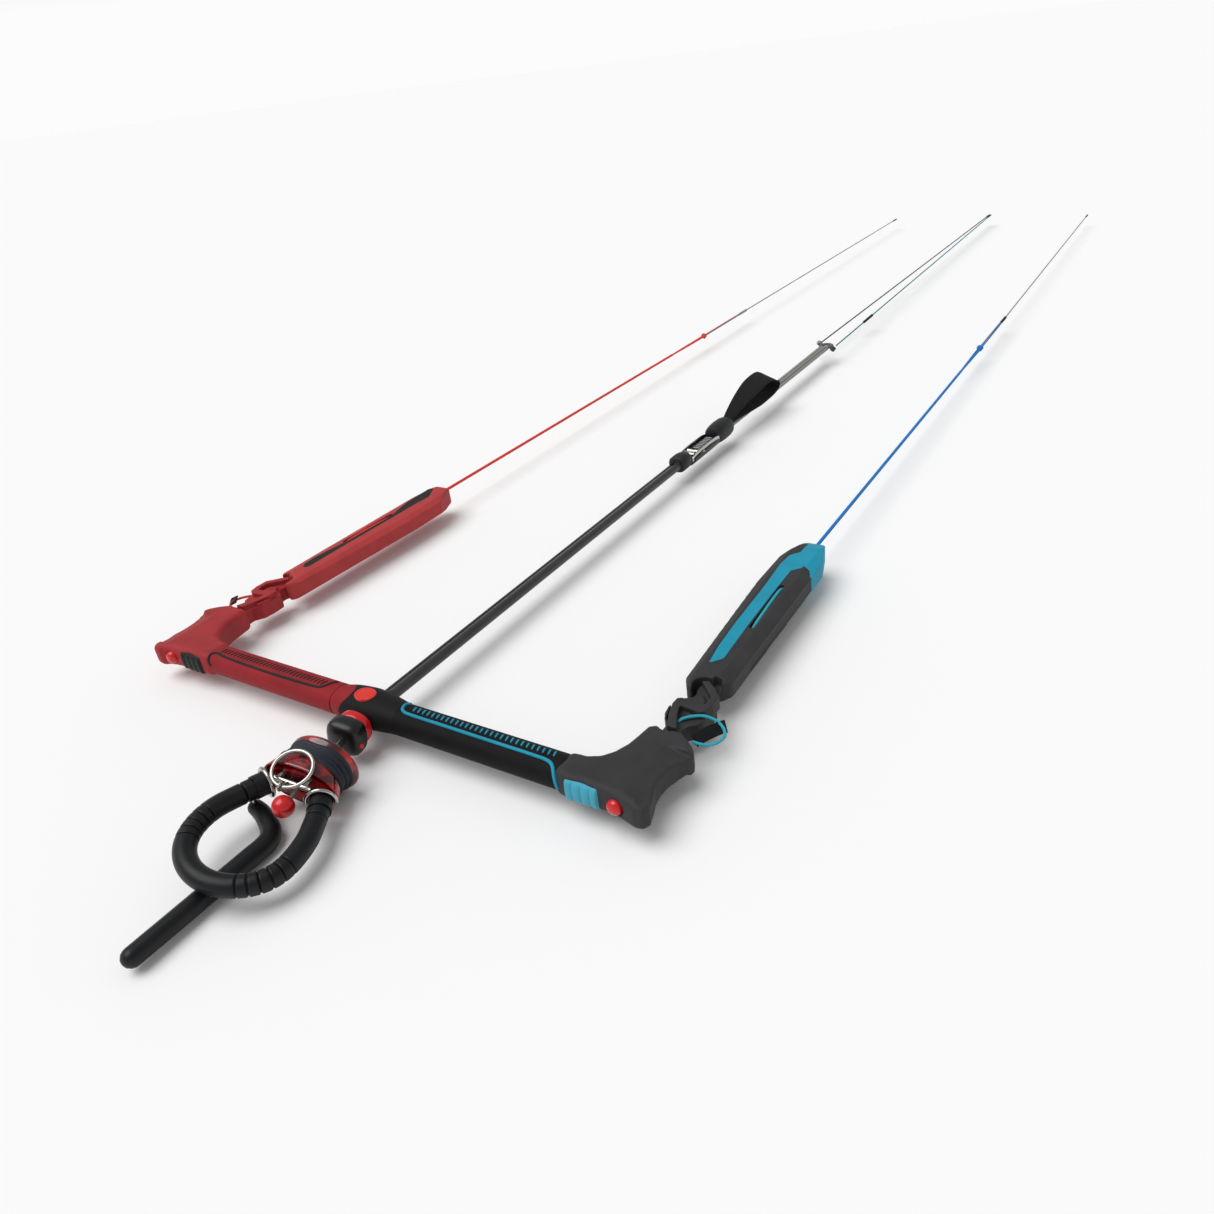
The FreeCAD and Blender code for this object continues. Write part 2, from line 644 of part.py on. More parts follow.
def build_centre_line():
    end = mm("cleat_start") + 6
    core_at = V(mm("cover_offset"), COVER_START, AXIS_Z)
    covers = twin_bore("cover_pair", COVER_START, end, 0)
    core_bore = cylinder("cover_bore", "Sizes.core_radius", end - COVER_START, core_at, Y_AXIS)
    keep("depower_cover", cut("depower_cover", covers, core_bore))
    keep("depower_core", cylinder(
        "depower_core", "Sizes.core_radius", end - COVER_START, core_at, Y_AXIS))

    collar = cylinder("lower_collar_round", 9.5, 22, V(0, mm("cleat_start"), AXIS_Z), Y_AXIS)
    seat = twin_bore("lower_collar_seat", mm("cleat_start") - 1, end, 0)
    keep("cleat_lower_collar", cut("cleat_lower_collar", collar, seat))

    start = mm("cleat_start") + 22
    stop = mm("collar_start")
    low = AXIS_Z - 9
    frame = [box("cleat_base", (-RAIL_HALF, start, low), (RAIL_HALF, stop, low + RAIL_THICK))]
    for name, side in SIDES:
        frame.append(side_box(
            "cleat_rail_" + name, side,
            (RAIL_HALF - RAIL_THICK, start, low), (RAIL_HALF, stop, AXIS_Z + 7)))
    frame.append(rod(
        "cleat_bolt", 1.6, V(-RAIL_HALF - 1.2, start + 9, AXIS_Z - 1), V(RAIL_HALF + 1.2, start + 9, AXIS_Z - 1)))
    keep("cleat_frame", fuse("cleat_frame", *frame))

    jaw_half = RAIL_HALF - RAIL_THICK
    jaw = box(
        "jaw_block", (-jaw_half, start + 14, low + RAIL_THICK), (jaw_half, stop - 4, AXIS_Z + 4))
    groove = cylinder("jaw_groove", 4.5, 80, V(0, start, AXIS_Z + 4), Y_AXIS)
    teeth = [groove]
    for number in range(9):
        at = start + 19 + 5 * number
        teeth.append(cylinder(
            "jaw_tooth_%d" % number, 6.2, 1.6, V(0, at, AXIS_Z + 4), Y_AXIS))
    keep("cleat_jaw", cut("cleat_jaw", jaw, *teeth))

    length = "Sizes.collar_end - Sizes.collar_start"
    barrel = cylinder("upper_barrel", 13.0, length, V(0, stop, AXIS_Z + 2), Y_AXIS)
    throat = cylinder("upper_throat", 7.5, length, V(0, stop, AXIS_Z + 1), Y_AXIS)
    keep("cleat_upper_collar", cut("cleat_upper_collar", barrel, throat))


def handle_profile(inset):
    """Leaf-shaped loop of the pull strap, seen from the side."""
    base = V(0, mm("collar_end") + 0.8, AXIS_Z + 8.5)
    top = V(0, 752 - inset, AXIS_Z + 31 - inset)
    far = V(0, 806 - inset, AXIS_Z + 17)
    low = V(0, 784 - inset, AXIS_Z + 5.5 + inset)
    start = base.add(V(0, 3 * inset, inset * 0.4))
    edges = [
        Part.Arc(start, V(0, 700, AXIS_Z + 24 - inset), top).toShape(),
        Part.Arc(top, V(0, 791 - inset, AXIS_Z + 29 - inset), far).toShape(),
        Part.Arc(far, V(0, 801 - inset, AXIS_Z + 9 + inset * 0.8), low).toShape(),
        Part.LineSegment(low, start).toShape(),
    ]
    return Part.Face(Part.Wire(edges))


def build_trim():
    strap = 2.4
    half_width = 12.5
    loop = handle_profile(0).cut(handle_profile(strap))
    band = loop.translated(V(-half_width, 0, 0)).extrude(V(2 * half_width, 0, 0))
    taper = Part.makePolygon([
        V(-5.5, 640, -30), V(5.5, 640, -30), V(half_width, 735, -30), V(half_width, 830, -30),
        V(-half_width, 830, -30), V(-half_width, 735, -30), V(-5.5, 640, -30),
    ])
    handle = doc.addObject("Part::Feature", "trim_handle")
    handle.Shape = band.common(Part.Face(taper).extrude(V(0, 0, 120)))
    keep("trim_handle", handle)

    ring_y = mm("ring_distance")
    strands = []
    places = (((-2.5, -1.8), -8.0), ((-2.2, 1.8), -3.0), ((2.2, 1.8), 3.0), ((2.5, -1.8), 8.0))
    for number, ((start_x, start_z), end_x) in enumerate(places):
        strands.append(rod(
            "trim_strand_%d" % number, STRAND_RADIUS,
            V(start_x, mm("collar_start") + 1, AXIS_Z + start_z), V(end_x, ring_y - 12, AXIS_Z)))
    keep("trim_lines", group("trim_lines", *strands))
    keep("splitter_ring", torus("splitter_ring", 9.0, 2.2, V(0, ring_y, AXIS_Z)))

    for name, side in SIDES:
        start = V(side * 14.4, ring_y + 5, AXIS_Z)
        end = V(side * 1.8, mm("centre_end"), AXIS_Z)
        run = end.sub(start)
        pieces = [
            ball("front_knot_" + name, 3.2, start),
            rod("front_line_bare_" + name, "Sizes.line_radius + 0.15", start, end),
            rod("front_tip_" + name, 1.6, end.sub(V(run).normalize().multiply(26)), end),
        ]
        if side > 0:
            sleeve_start = start.add(V(run).multiply(0.125))
            sleeve_end = start.add(V(run).multiply(0.165))
            pieces.append(rod("front_pigtail", 1.5, start, sleeve_start))
            pieces.append(rod("front_sleeve", 2.0, sleeve_start, sleeve_end))
        keep("front_line_" + name, fuse("front_line_" + name, *pieces))


# ---------------------------------------------------------------- release and chicken loop
# Local frame of the release: X across, -Y outwards along its axis from the hub centre, Z up.

RELEASE = FreeCAD.Placement(
    V(0, 0, AXIS_Z),
    FreeCAD.Rotation(Z_AXIS, mm("release_yaw")).multiply(FreeCAD.Rotation(Y_AXIS, mm("release_roll"))),
)


def out(across, distance, up=0.0):
    """Point of the release frame at a distance outwards from the hub centre."""
    return V(across, -distance, up)


OUTWARD = V(0, -1, 0)


def release_part(node, obj):
    doc.recompute()
    obj.Placement = RELEASE.multiply(obj.Placement)
    return keep(node, obj)


def oval_loft(name, sections):
    """Solid through ovals square to the release axis; a section is (distance, half width, half height)."""
    ovals = []
    for number, (distance, half_width, half_height) in enumerate(sections):
        oval = doc.addObject("Part::Ellipse", "%s_oval%d" % (name, number))
        oval.MajorRadius = half_width
        oval.MinorRadius = half_height
        oval.Placement = FreeCAD.Placement(out(0, distance), FreeCAD.Rotation(X_AXIS, 90))
        ovals.append(oval)
    loft = doc.addObject("Part::Loft", name)
    loft.Sections = ovals
    loft.Solid = True
    loft.Ruled = False
    return loft


COLLAR_START = 18.7
STOPPER_START = 25.0
STOPPER_END = 46.0
HOOD_START = 61.5
HOOD_END = 92.0
LEDGE = 76.0
FLANGE = 60.5
STEM_RADIUS = 8.0
BODY_END = 94.0
BAND_START = 67.0
BAND_END = 81.5


def build_stopper():
    half = 14.0
    distance = (STOPPER_START + STOPPER_END) / 2
    square = box(
        "stopper_square", (-half, -STOPPER_END, -half), (half, -STOPPER_START, half))
    rounded = doc.addObject("Part::Fillet", "stopper_rounded")
    rounded.Base = square
    doc.recompute()
    edges = []
    for number, edge in enumerate(square.Shape.Edges, start=1):
        along_axis = abs(edge.tangentAt(edge.FirstParameter).y) > 0.9
        edges.append((number, 8.5, 8.5) if along_axis else (number, 3.0, 3.0))
    rounded.Edges = edges
    bore = cylinder("stopper_bore", "Sizes.shaft_radius", 40, out(0, distance - 20), OUTWARD)
    release_part("stopper_handle", cut("stopper_handle", rounded, bore))

    collar = doc.addObject("Part::Cone", "collar_cone")
    collar.Radius1 = 9.5
    collar.Radius2 = 12.5
    collar.Height = STOPPER_START - COLLAR_START
    collar.Placement = FreeCAD.Placement(out(0, COLLAR_START), FreeCAD.Rotation(Z_AXIS, OUTWARD))
    collar_bore = cylinder("collar_bore", "Sizes.shaft_radius", 20, out(0, 10), OUTWARD)
    release_part("stopper_collar", cut("stopper_collar", collar, collar_bore))

    shaft = cylinder("shaft_rod", "Sizes.shaft_radius", 70, out(0, 14.5), OUTWARD)
    head = cylinder("shaft_head", 5.0, 4, out(0, 84.4), OUTWARD)
    release_part("swivel_shaft", fuse("swivel_shaft", shaft, head))


def build_hood():
    outer = oval_loft("hood_outer", (
        (HOOD_START, 24.8, 22.8), (64.5, 25.8, 23.8), (72, 23.0, 20.5), (82, 27.0, 19.5), (HOOD_END, 31.5, 18.5)))
    bore = cylinder("hood_bore", 12.5, LEDGE - 60, out(0, 60), OUTWARD)
    stem_hole = cylinder("hood_stem_hole", STEM_RADIUS + 0.5, 6, out(0, LEDGE - 1), OUTWARD)
    shaft_hole = cylinder("hood_shaft_hole", 4.5, 10, out(0, HOOD_START - 2), OUTWARD)
    cavity = oval_loft("hood_cavity", (
        (LEDGE + 2.5, 22.5, 15.5), (84, 25.5, 15.6), (HOOD_END + 0.5, 28.5, 15.4)))
    dish = oval_loft("hood_dish", ((HOOD_START - 1, 22.0, 20.0), (HOOD_START + 1.2, 17.5, 15.5)))
    hood = cut("hood_shell", outer, bore, stem_hole, shaft_hole, cavity, dish)

    band_outer = oval_loft("band_outer", (
        (HOOD_START, 25.8, 23.8), (64.5, 26.8, 24.8), (72, 24.2, 21.7), (82, 28.0, 20.5), (HOOD_END, 32.5, 19.5)))
    band_inner = oval_loft("band_inner", (
        (HOOD_START, 24.0, 22.0), (64.5, 25.0, 23.0), (72, 22.2, 19.7), (82, 26.2, 18.7), (HOOD_END, 30.7, 17.7)))
    band_shell = cut("band_shell", band_outer, band_inner)
    bow = outline_body("bow_tie", [
        (-40, -BAND_END - 3), (-16, -BAND_END), (0, -(BAND_START + 10.5)), (16, -BAND_END), (40, -BAND_END - 3),
        (40, -BAND_START), (14, -BAND_START), (0, -(BAND_START + 4)), (-14, -BAND_START), (-40, -BAND_START),
    ], 80.0, 0)
    band = common("hood_grip", band_shell, bow)
    release_part("hood_grip", band)
    seat = doc.addObject("Part::Feature", "band_seat")
    seat.Shape = band.Shape.copy()
    seat.Placement = FreeCAD.Placement()
    release_part("release_hood", cut("release_hood", hood, seat))


def build_release_body():
    flange = cylinder("body_flange", 12.0, 2, out(0, FLANGE), OUTWARD)
    stem = cylinder("body_stem", STEM_RADIUS, 22, out(0, FLANGE), OUTWARD)
    block = oval_loft("body_block", ((80, 21.0, 14.0), (86, 24.0, 14.2), (BODY_END, 25.5, 13.5)))
    shaft_bore = cylinder("body_shaft_bore", "Sizes.shaft_radius + 0.08", 40, out(0, 55), OUTWARD)
    head_room = cylinder("body_head_room", 5.4, 20, out(0, 84), OUTWARD)
    release_part("release_body", cut(
        "release_body", fuse("body_solid", flange, stem, block), shaft_bore, head_room))

    coil_radius = 10.2
    wire_radius = 0.6
    height = LEDGE - FLANGE - 2 - 2 * wire_radius - 0.4
    helix = Part.makeHelix(height / 4, height, coil_radius)
    profile = Part.Wire(Part.makeCircle(wire_radius, V(coil_radius, 0, 0), Y_AXIS))
    spring = doc.addObject("Part::Feature", "hood_spring")
    spring.Shape = Part.Wire(helix).makePipeShell([profile], True, True)
    spring.Placement = FreeCAD.Placement(
        out(0, FLANGE + 2 + wire_radius + 0.2), FreeCAD.Rotation(Z_AXIS, OUTWARD))
    release_part("hood_spring", spring)


LEG_START = 103.0
LEG_ACROSS = 24.6


def leg_direction(side):
    """Direction of a straight leg of the loop, from the release outwards."""
    to_centre = V(-side * LEG_ACROSS, LEG_START - mm("loop_centre"), 0)
    spread = math.degrees(math.asin(mm("loop_radius") / to_centre.Length))
    return FreeCAD.Rotation(Z_AXIS, side * spread).multVec(to_centre).normalize()


def leg_point(side, along):
    return out(side * LEG_ACROSS, LEG_START).add(leg_direction(side).multiply(along))


BAR_DISTANCE = 101.0
BAR_HEIGHT = 9.5
RING_SEAT = -3.5
RING_CENTRE = V(-1, -96, 18.5)
RING_NORMAL = V(0, -0.33, 1).normalize()
RING_RADIUS = 14.6


def build_shackle():
    """Steel fork: a ring round the fixed ferrule, an arch over the released one, a bar between."""
    left_ring = torus("shackle_ring", 10.6, 1.5, leg_point(-1, RING_SEAT), leg_direction(-1))
    arch = torus("shackle_arch", 10.6, 1.5, leg_point(1, RING_SEAT))
    arch.Angle3 = 190
    direction = leg_direction(1)
    level = FreeCAD.Rotation(Z_AXIS.cross(direction), Z_AXIS, direction, "ZXY")
    arch.Placement.Rotation = FreeCAD.Rotation(direction, -5).multiply(level)
    pieces = [left_ring, arch]
    pieces.append(rod(
        "shackle_bar", 2.0, out(-17, BAR_DISTANCE, BAR_HEIGHT), out(17, BAR_DISTANCE, BAR_HEIGHT)))
    for name, side in SIDES:
        pieces.append(rod(
            "shackle_link_" + name, 1.9,
            out(side * 11, BODY_END, BAR_HEIGHT), out(side * 11, BAR_DISTANCE, BAR_HEIGHT)))
    hinge = ring_hinge()
    pieces.append(torus("shackle_lug", 3.0, 0.9, hinge, X_AXIS))
    pieces.append(rod("lug_stem", 1.3, out(hinge.x, BAR_DISTANCE, BAR_HEIGHT), hinge.add(V(0, 2.2, -1.9))))
    release_part("shackle", fuse("shackle", *pieces))


def ring_hinge():
    """Point of the leash ring farthest out, where the shackle's lug holds it."""
    outward = RING_NORMAL.cross(X_AXIS)
    if outward.y > 0:
        outward = outward.negative()
    return RING_CENTRE.add(outward.multiply(RING_RADIUS))


def build_leash_ring():
    release_part("leash_ring", torus("leash_ring", RING_RADIUS, 1.4, RING_CENTRE, RING_NORMAL))
    at = RELEASE.multVec(ring_hinge())
    print("leash ring hinge", [round(value, 3) for value in at])


def build_stopper_ball():
    centre = out(3.5, 115.5, 1.5)
    stub = rod("ball_rope", 1.4, out(0, 91, 0), centre)
    head = ball("ball_head", "Sizes.ball_radius", centre)
    release_part("stopper_ball", fuse("stopper_ball", stub, head))


def build_chicken_loop():
    radius = mm("loop_radius")
    centre = mm("loop_centre")
    tangents = []
    for side in (-1, 1):
        to_centre = out(0, centre).sub(out(side * LEG_ACROSS, LEG_START))
        reach = math.sqrt(to_centre.Length ** 2 - radius ** 2)
        tangents.append(leg_point(side, reach))
    ferrule_out = 6.5
    starts = [leg_point(side, ferrule_out) for side in (-1, 1)]
    wire = Part.Wire([
        Part.LineSegment(starts[0], tangents[0]).toShape(),
        Part.Arc(tangents[0], out(0, centre + radius), tangents[1]).toShape(),
        Part.LineSegment(tangents[1], starts[1]).toShape(),
    ])
    release_part("chicken_loop", tube_along("chicken_loop", mm("hose_radius"), wire))
    sleeves = []
    for name, side in SIDES:
        barrel = rod(
            "ferrule_barrel_" + name, "Sizes.ferrule_radius", leg_point(side, -6), leg_point(side, ferrule_out))
        if side < 0:
            screw_hole = cylinder("ferrule_hole", 2.0, 30, V(-27, -110.5, -16))
            barrel = cut("ferrule_drilled", barrel, screw_hole)
        sleeves.append(barrel)
    release_part("loop_ferrules", group("loop_ferrules", *sleeves))


FINGER_PIVOT = (-27.0, 110.5)
SCREW_TOP = -8.0


def build_finger():
    drop = -mm("finger_drop")
    pivot = out(FINGER_PIVOT[0], FINGER_PIVOT[1], drop)
    route = [pivot, out(-14, 117.5, drop), out(1.5, 129.5, drop), out(-0.5, 146, drop), out(-15.2, 241, drop)]
    wire = rounded_route(route, 12.0)
    tube = tube_along("finger_tube", mm("finger_radius"), wire)
    solids = fuse(
        "finger_solid", tube, ball("finger_tip", "Sizes.finger_radius", route[-1]),
        ball("finger_root", "Sizes.finger_radius", pivot))
    hole = cylinder("finger_hole", 2.1, 30, pivot.sub(V(0, 0, 15)))
    flat = box("finger_flat", (-60, -130, drop - 20), (-10, -90, drop - 5.5))
    release_part("chicken_finger", cut("chicken_finger", solids, hole, flat))
    shank = cylinder("screw_shank", 2.0, SCREW_TOP - drop + 6.2, V(pivot.x, pivot.y, drop - 6.2))
    head = cylinder("screw_head", 4.0, 2.0, V(pivot.x, pivot.y, drop - 8.0))
    release_part("finger_screw", fuse("finger_screw", shank, head))


# ---------------------------------------------------------------- build and write

build_hub()
for side_name, side_sign in SIDES:
    build_grip(side_name, side_sign)
    build_bar_end(side_name, side_sign)
    build_button_spring(side_name, side_sign)
    build_neck(side_name, side_sign)
    build_float(side_name, side_sign)
    build_bungee(side_name, side_sign)
    build_steering_line(side_name, side_sign)
build_centre_line()
build_trim()
build_stopper()
build_hood()
build_release_body()
build_shackle()
build_leash_ring()
build_stopper_ball()
build_chicken_loop()
build_finger()
doc.recompute()

for obj in doc.Objects:
    if "Invalid" in obj.State or "Error" in obj.State:
        raise RuntimeError("%s is %s" % (obj.Name, obj.State))
for node, obj in parts.items():
    if obj.Shape.isNull() or not obj.Shape.isValid():
        raise RuntimeError(node + " has no valid shape")

os.makedirs("parts", exist_ok=True)
for node, obj in parts.items():
    obj.Shape.exportStep("parts/%s.step" % node)
print(len(parts), "sub-parts written")
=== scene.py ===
import bmesh
import bpy
import json
import math
from mathutils import Matrix, Vector, noise

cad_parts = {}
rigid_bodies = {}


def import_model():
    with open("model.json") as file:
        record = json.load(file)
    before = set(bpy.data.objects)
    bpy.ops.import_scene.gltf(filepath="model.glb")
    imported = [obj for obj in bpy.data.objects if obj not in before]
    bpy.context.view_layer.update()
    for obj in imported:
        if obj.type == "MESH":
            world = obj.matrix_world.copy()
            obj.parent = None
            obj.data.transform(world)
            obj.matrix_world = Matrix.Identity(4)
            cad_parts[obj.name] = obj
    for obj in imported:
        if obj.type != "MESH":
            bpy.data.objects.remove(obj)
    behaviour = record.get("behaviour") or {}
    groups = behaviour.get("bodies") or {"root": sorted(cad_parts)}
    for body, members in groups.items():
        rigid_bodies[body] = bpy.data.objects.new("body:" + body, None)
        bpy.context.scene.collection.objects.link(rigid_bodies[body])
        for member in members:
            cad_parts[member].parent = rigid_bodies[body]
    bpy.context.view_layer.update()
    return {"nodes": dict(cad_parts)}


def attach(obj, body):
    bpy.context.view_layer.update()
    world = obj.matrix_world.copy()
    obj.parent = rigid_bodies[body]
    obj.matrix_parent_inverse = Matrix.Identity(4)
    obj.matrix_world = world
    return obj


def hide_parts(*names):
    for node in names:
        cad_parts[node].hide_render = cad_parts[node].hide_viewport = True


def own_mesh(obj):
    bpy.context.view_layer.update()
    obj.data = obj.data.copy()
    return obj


# Looks of a kitesurf control bar around its CAD. Places are in millimetres and mm() turns them to metres;
# cord lengths and diameters, tube radii and the stage are in metres.

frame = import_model()
scene = bpy.context.scene

AXIS_Z = 14.0  # height of the bar's and the lines' middle
LEFT = -1
RIGHT = 1
SIDES = (("left", LEFT), ("right", RIGHT))


def mm(x, y, z):
    return Vector((x, y, z)) * 0.001


# ---- camera

def look_axes(azimuth, elevation, roll):
    """Camera's right, up and backward directions."""
    a, e, r = (math.radians(value) for value in (azimuth, elevation, roll))
    forward = Vector((-math.sin(a) * math.cos(e), math.cos(a) * math.cos(e), -math.sin(e)))
    right = Vector((math.cos(a), math.sin(a), 0))
    down = forward.cross(right)
    tilted_right = right * math.cos(r) + down * math.sin(r)
    tilted_down = down * math.cos(r) - right * math.sin(r)
    return tilted_right, -tilted_down, -forward


CAMERA_PLACE = (0.5180, -0.3941, 0.4395)
CAMERA_ANGLES = (35.257, 30.117, 7.338)

camera_data = bpy.data.cameras.new("camera")
camera_data.lens = 28.0
camera_data.sensor_width = 36.0
camera_data.clip_start = 0.01
camera = bpy.data.objects.new("camera", camera_data)
scene.collection.objects.link(camera)
camera_axes = Matrix(look_axes(*CAMERA_ANGLES)).transposed().to_4x4()
camera.matrix_world = Matrix.Translation(CAMERA_PLACE) @ camera_axes
scene.camera = camera

# ---- materials

M = {}


def new_material(name):
    """Add a material to M and return its nodes, links and shader."""
    M[name] = bpy.data.materials.new(name)
    M[name].use_nodes = True
    nodes = M[name].node_tree.nodes
    return nodes, M[name].node_tree.links, nodes["Principled BSDF"]


def add_bump(nodes, links, shader, height, strength, distance):
    bump = nodes.new("ShaderNodeBump")
    bump.inputs["Strength"].default_value = strength
    bump.inputs["Distance"].default_value = distance
    links.new(height, bump.inputs["Height"])
    links.new(bump.outputs["Normal"], shader.inputs["Normal"])


def noise_node(nodes, links, scale, detail=4.0):
    coords = nodes.new("ShaderNodeTexCoord")
    texture = nodes.new("ShaderNodeTexNoise")
    texture.inputs["Scale"].default_value = scale
    texture.inputs["Detail"].default_value = detail
    links.new(coords.outputs["Object"], texture.inputs["Vector"])
    return texture


def ramp_between(nodes, links, value, low, high, start=0.35, end=0.65):
    ramp = nodes.new("ShaderNodeValToRGB")
    ramp.color_ramp.elements[0].position = start
    ramp.color_ramp.elements[1].position = end
    ramp.color_ramp.elements[0].color = (*low, 1)
    ramp.color_ramp.elements[1].color = (*high, 1)
    links.new(value, ramp.inputs["Fac"])
    return ramp


def shade(colour, factor):
    return tuple(min(1.0, channel * factor) for channel in colour)


def uneven_gloss(nodes, links, shader, cloud, low, high):
    rough = nodes.new("ShaderNodeMapRange")
    rough.inputs["To Min"].default_value = low
    rough.inputs["To Max"].default_value = high
    links.new(cloud.outputs["Fac"], rough.inputs["Value"])
    links.new(rough.outputs["Result"], shader.inputs["Roughness"])


def moulded(name, colour, roughness=0.6, grain=900.0, bump=0.25, spread=0.12, specular=0.4, coat=0.0):
    """Moulded foam, rubber or plastic: fine grain and slightly uneven colour and gloss."""
    nodes, links, shader = new_material(name)
    cloud = noise_node(nodes, links, 45.0)
    tone = ramp_between(
        nodes, links, cloud.outputs["Fac"], shade(colour, 1 - spread), shade(colour, 1 + spread))
    links.new(tone.outputs["Color"], shader.inputs["Base Color"])
    uneven_gloss(nodes, links, shader, cloud, roughness - 0.06, roughness + 0.08)
    shader.inputs["Specular IOR Level"].default_value = specular
    shader.inputs["Coat Weight"].default_value = coat
    shader.inputs["Coat Roughness"].default_value = 0.12
    fine = noise_node(nodes, links, grain, 2.0)
    add_bump(nodes, links, shader, fine.outputs["Fac"], bump, 0.0004)


def metal(name, colour, roughness):
    """Brushed or polished metal with a slightly uneven gloss."""
    nodes, links, shader = new_material(name)
    shader.inputs["Base Color"].default_value = (*colour, 1)
    shader.inputs["Metallic"].default_value = 1.0
    cloud = noise_node(nodes, links, 260.0, 3.0)
    uneven_gloss(nodes, links, shader, cloud, max(0.03, roughness - 0.08), roughness + 0.1)
    add_bump(nodes, links, shader, cloud.outputs["Fac"], 0.06, 0.0003)


def woven(name, colour, around, along, contrast=0.35):
    """Braid or weave from the two diagonals of the UV map; along is in threads per metre."""
    nodes, links, shader = new_material(name)
    coords = nodes.new("ShaderNodeTexCoord")
    split = nodes.new("ShaderNodeSeparateXYZ")
    links.new(coords.outputs["UV"], split.inputs["Vector"])

    def math_node(operation, first, second=None):
        node = nodes.new("ShaderNodeMath")
        node.operation = operation
        for socket, value in zip(node.inputs, (first, second)):
            if value is None:
                continue
            if isinstance(value, (int, float)):
                socket.default_value = value
            else:
                links.new(value, socket)
        return node.outputs["Value"]

    across = math_node("MULTIPLY", split.outputs["X"], around * 2 * math.pi)
    length = math_node("MULTIPLY", split.outputs["Y"], along * 2 * math.pi)
    one = math_node("SINE", math_node("ADD", across, length))
    two = math_node("SINE", math_node("SUBTRACT", across, length))
    ridges = math_node("ADD", math_node("ABSOLUTE", one), math_node("ABSOLUTE", two))
    weave = math_node("MULTIPLY", ridges, 0.5)
    tone = ramp_between(
        nodes, links, weave, shade(colour, 1 - contrast), shade(colour, 1 + contrast * 0.5), 0.2, 0.9)
    links.new(tone.outputs["Color"], shader.inputs["Base Color"])
    shader.inputs["Roughness"].default_value = 0.85
    shader.inputs["Specular IOR Level"].default_value = 0.25
    add_bump(nodes, links, shader, weave, 0.7, 0.0006)


def translucent_red(name):
    """Tinted clear plastic with a mottled depth."""
    nodes, links, shader = new_material(name)
    cloud = noise_node(nodes, links, 75.0, 3.0)
    tone = ramp_between(
        nodes, links, cloud.outputs["Fac"], (0.060, 0.002, 0.005), (0.66, 0.008, 0.010), 0.40, 0.66)
    links.new(tone.outputs["Color"], shader.inputs["Base Color"])
    shader.inputs["Roughness"].default_value = 0.22
    shader.inputs["Transmission Weight"].default_value = 0.25
    shader.inputs["IOR"].default_value = 1.45
    shader.inputs["Coat Weight"].default_value = 0.6
    shader.inputs["Coat Roughness"].default_value = 0.08
    fine = noise_node(nodes, links, 320.0, 2.0)
    add_bump(nodes, links, shader, fine.outputs["Fac"], 0.08, 0.0005)


RED = (0.32, 0.020, 0.024)
RED_FLOAT = (0.40, 0.040, 0.042)
CHARCOAL = (0.030, 0.030, 0.032)
TEAL = (0.010, 0.270, 0.400)

moulded("red_end", RED, 0.55, bump=0.18, specular=0.25)
moulded("red_grip", (0.255, 0.012, 0.017), 0.66, 1400.0, 0.35, specular=0.2)
moulded("red_float", RED_FLOAT, 0.62, 1100.0, 0.25, 0.08, 0.2)
moulded("charcoal", CHARCOAL, 0.62, 1100.0, 0.30, specular=0.25)
moulded("black_grip", (0.0055, 0.0055, 0.006), 0.66, 1500.0, 0.5, 0.25, 0.14)
moulded("hub", (0.0065, 0.0065, 0.007), 0.62, 1300.0, 0.4, 0.2, 0.16)
moulded("black_foam", (0.016, 0.018, 0.018), 0.7, 1300.0, 0.4, specular=0.2)
moulded("teal", TEAL, 0.55, 1100.0, 0.2, 0.06, 0.2)
moulded("teal_pad", (0.050, 0.330, 0.450), 0.5, 900.0, 0.15, 0.06, 0.25)
moulded("black_pad", (0.009, 0.009, 0.010), 0.55, 900.0, 0.2, specular=0.25)
moulded("red_gloss", (0.56, 0.006, 0.010), 0.25, 200.0, 0.03, 0.06, 0.4, 0.3)
moulded("red_cap", (0.70, 0.030, 0.022), 0.35, 600.0, 0.1, 0.06)
moulded("stopper", (0.005, 0.005, 0.006), 0.34, 700.0, 0.12, 0.2, 0.4)
moulded("hose", (0.004, 0.0048, 0.006), 0.42, 800.0, 0.12, 0.2, 0.28)
moulded("collar", (0.010, 0.011, 0.012), 0.48, 1400.0, 0.35, 0.2, 0.3)
moulded("cover", (0.030, 0.031, 0.034), 0.32, 500.0, 0.05, 0.1, 0.35, 0.1)
moulded("cover_gloss", (0.006, 0.006, 0.007), 0.14, 300.0, 0.03, 0.1, 0.6, 0.4)
moulded("hood_rubber", (0.014, 0.017, 0.026), 0.55, 900.0, 0.2, specular=0.3)
moulded("body", (0.02, 0.02, 0.022), 0.4)
translucent_red("hood")
metal("steel", (0.40, 0.39, 0.37), 0.25)
metal("chrome", (0.46, 0.445, 0.42), 0.14)
metal("tube", (0.45, 0.45, 0.47), 0.35)
woven("webbing", (0.009, 0.009, 0.010), 9.0, 420.0, 0.6)
woven("leader_left", (0.74, 0.060, 0.045), 3.0, 260.0)
woven("leader_right", (0.020, 0.200, 0.560), 3.0, 260.0)
woven("bungee_right", (0.035, 0.400, 0.500), 3.0, 300.0)
woven("bungee_left", (0.55, 0.050, 0.045), 3.0, 300.0)
woven("grey_line", (0.23, 0.24, 0.26), 2.0, 420.0)
woven("dark_line", (0.055, 0.060, 0.065), 2.0, 420.0)
woven("teal_line", (0.030, 0.230, 0.250), 2.0, 420.0)
woven("strand", (0.30, 0.295, 0.28), 3.0, 300.0, 0.55)
woven("sleeve_grey", (0.30, 0.31, 0.33), 4.0, 500.0)
woven("sleeve_black", (0.02, 0.02, 0.022), 4.0, 500.0)

# ---- mesh building

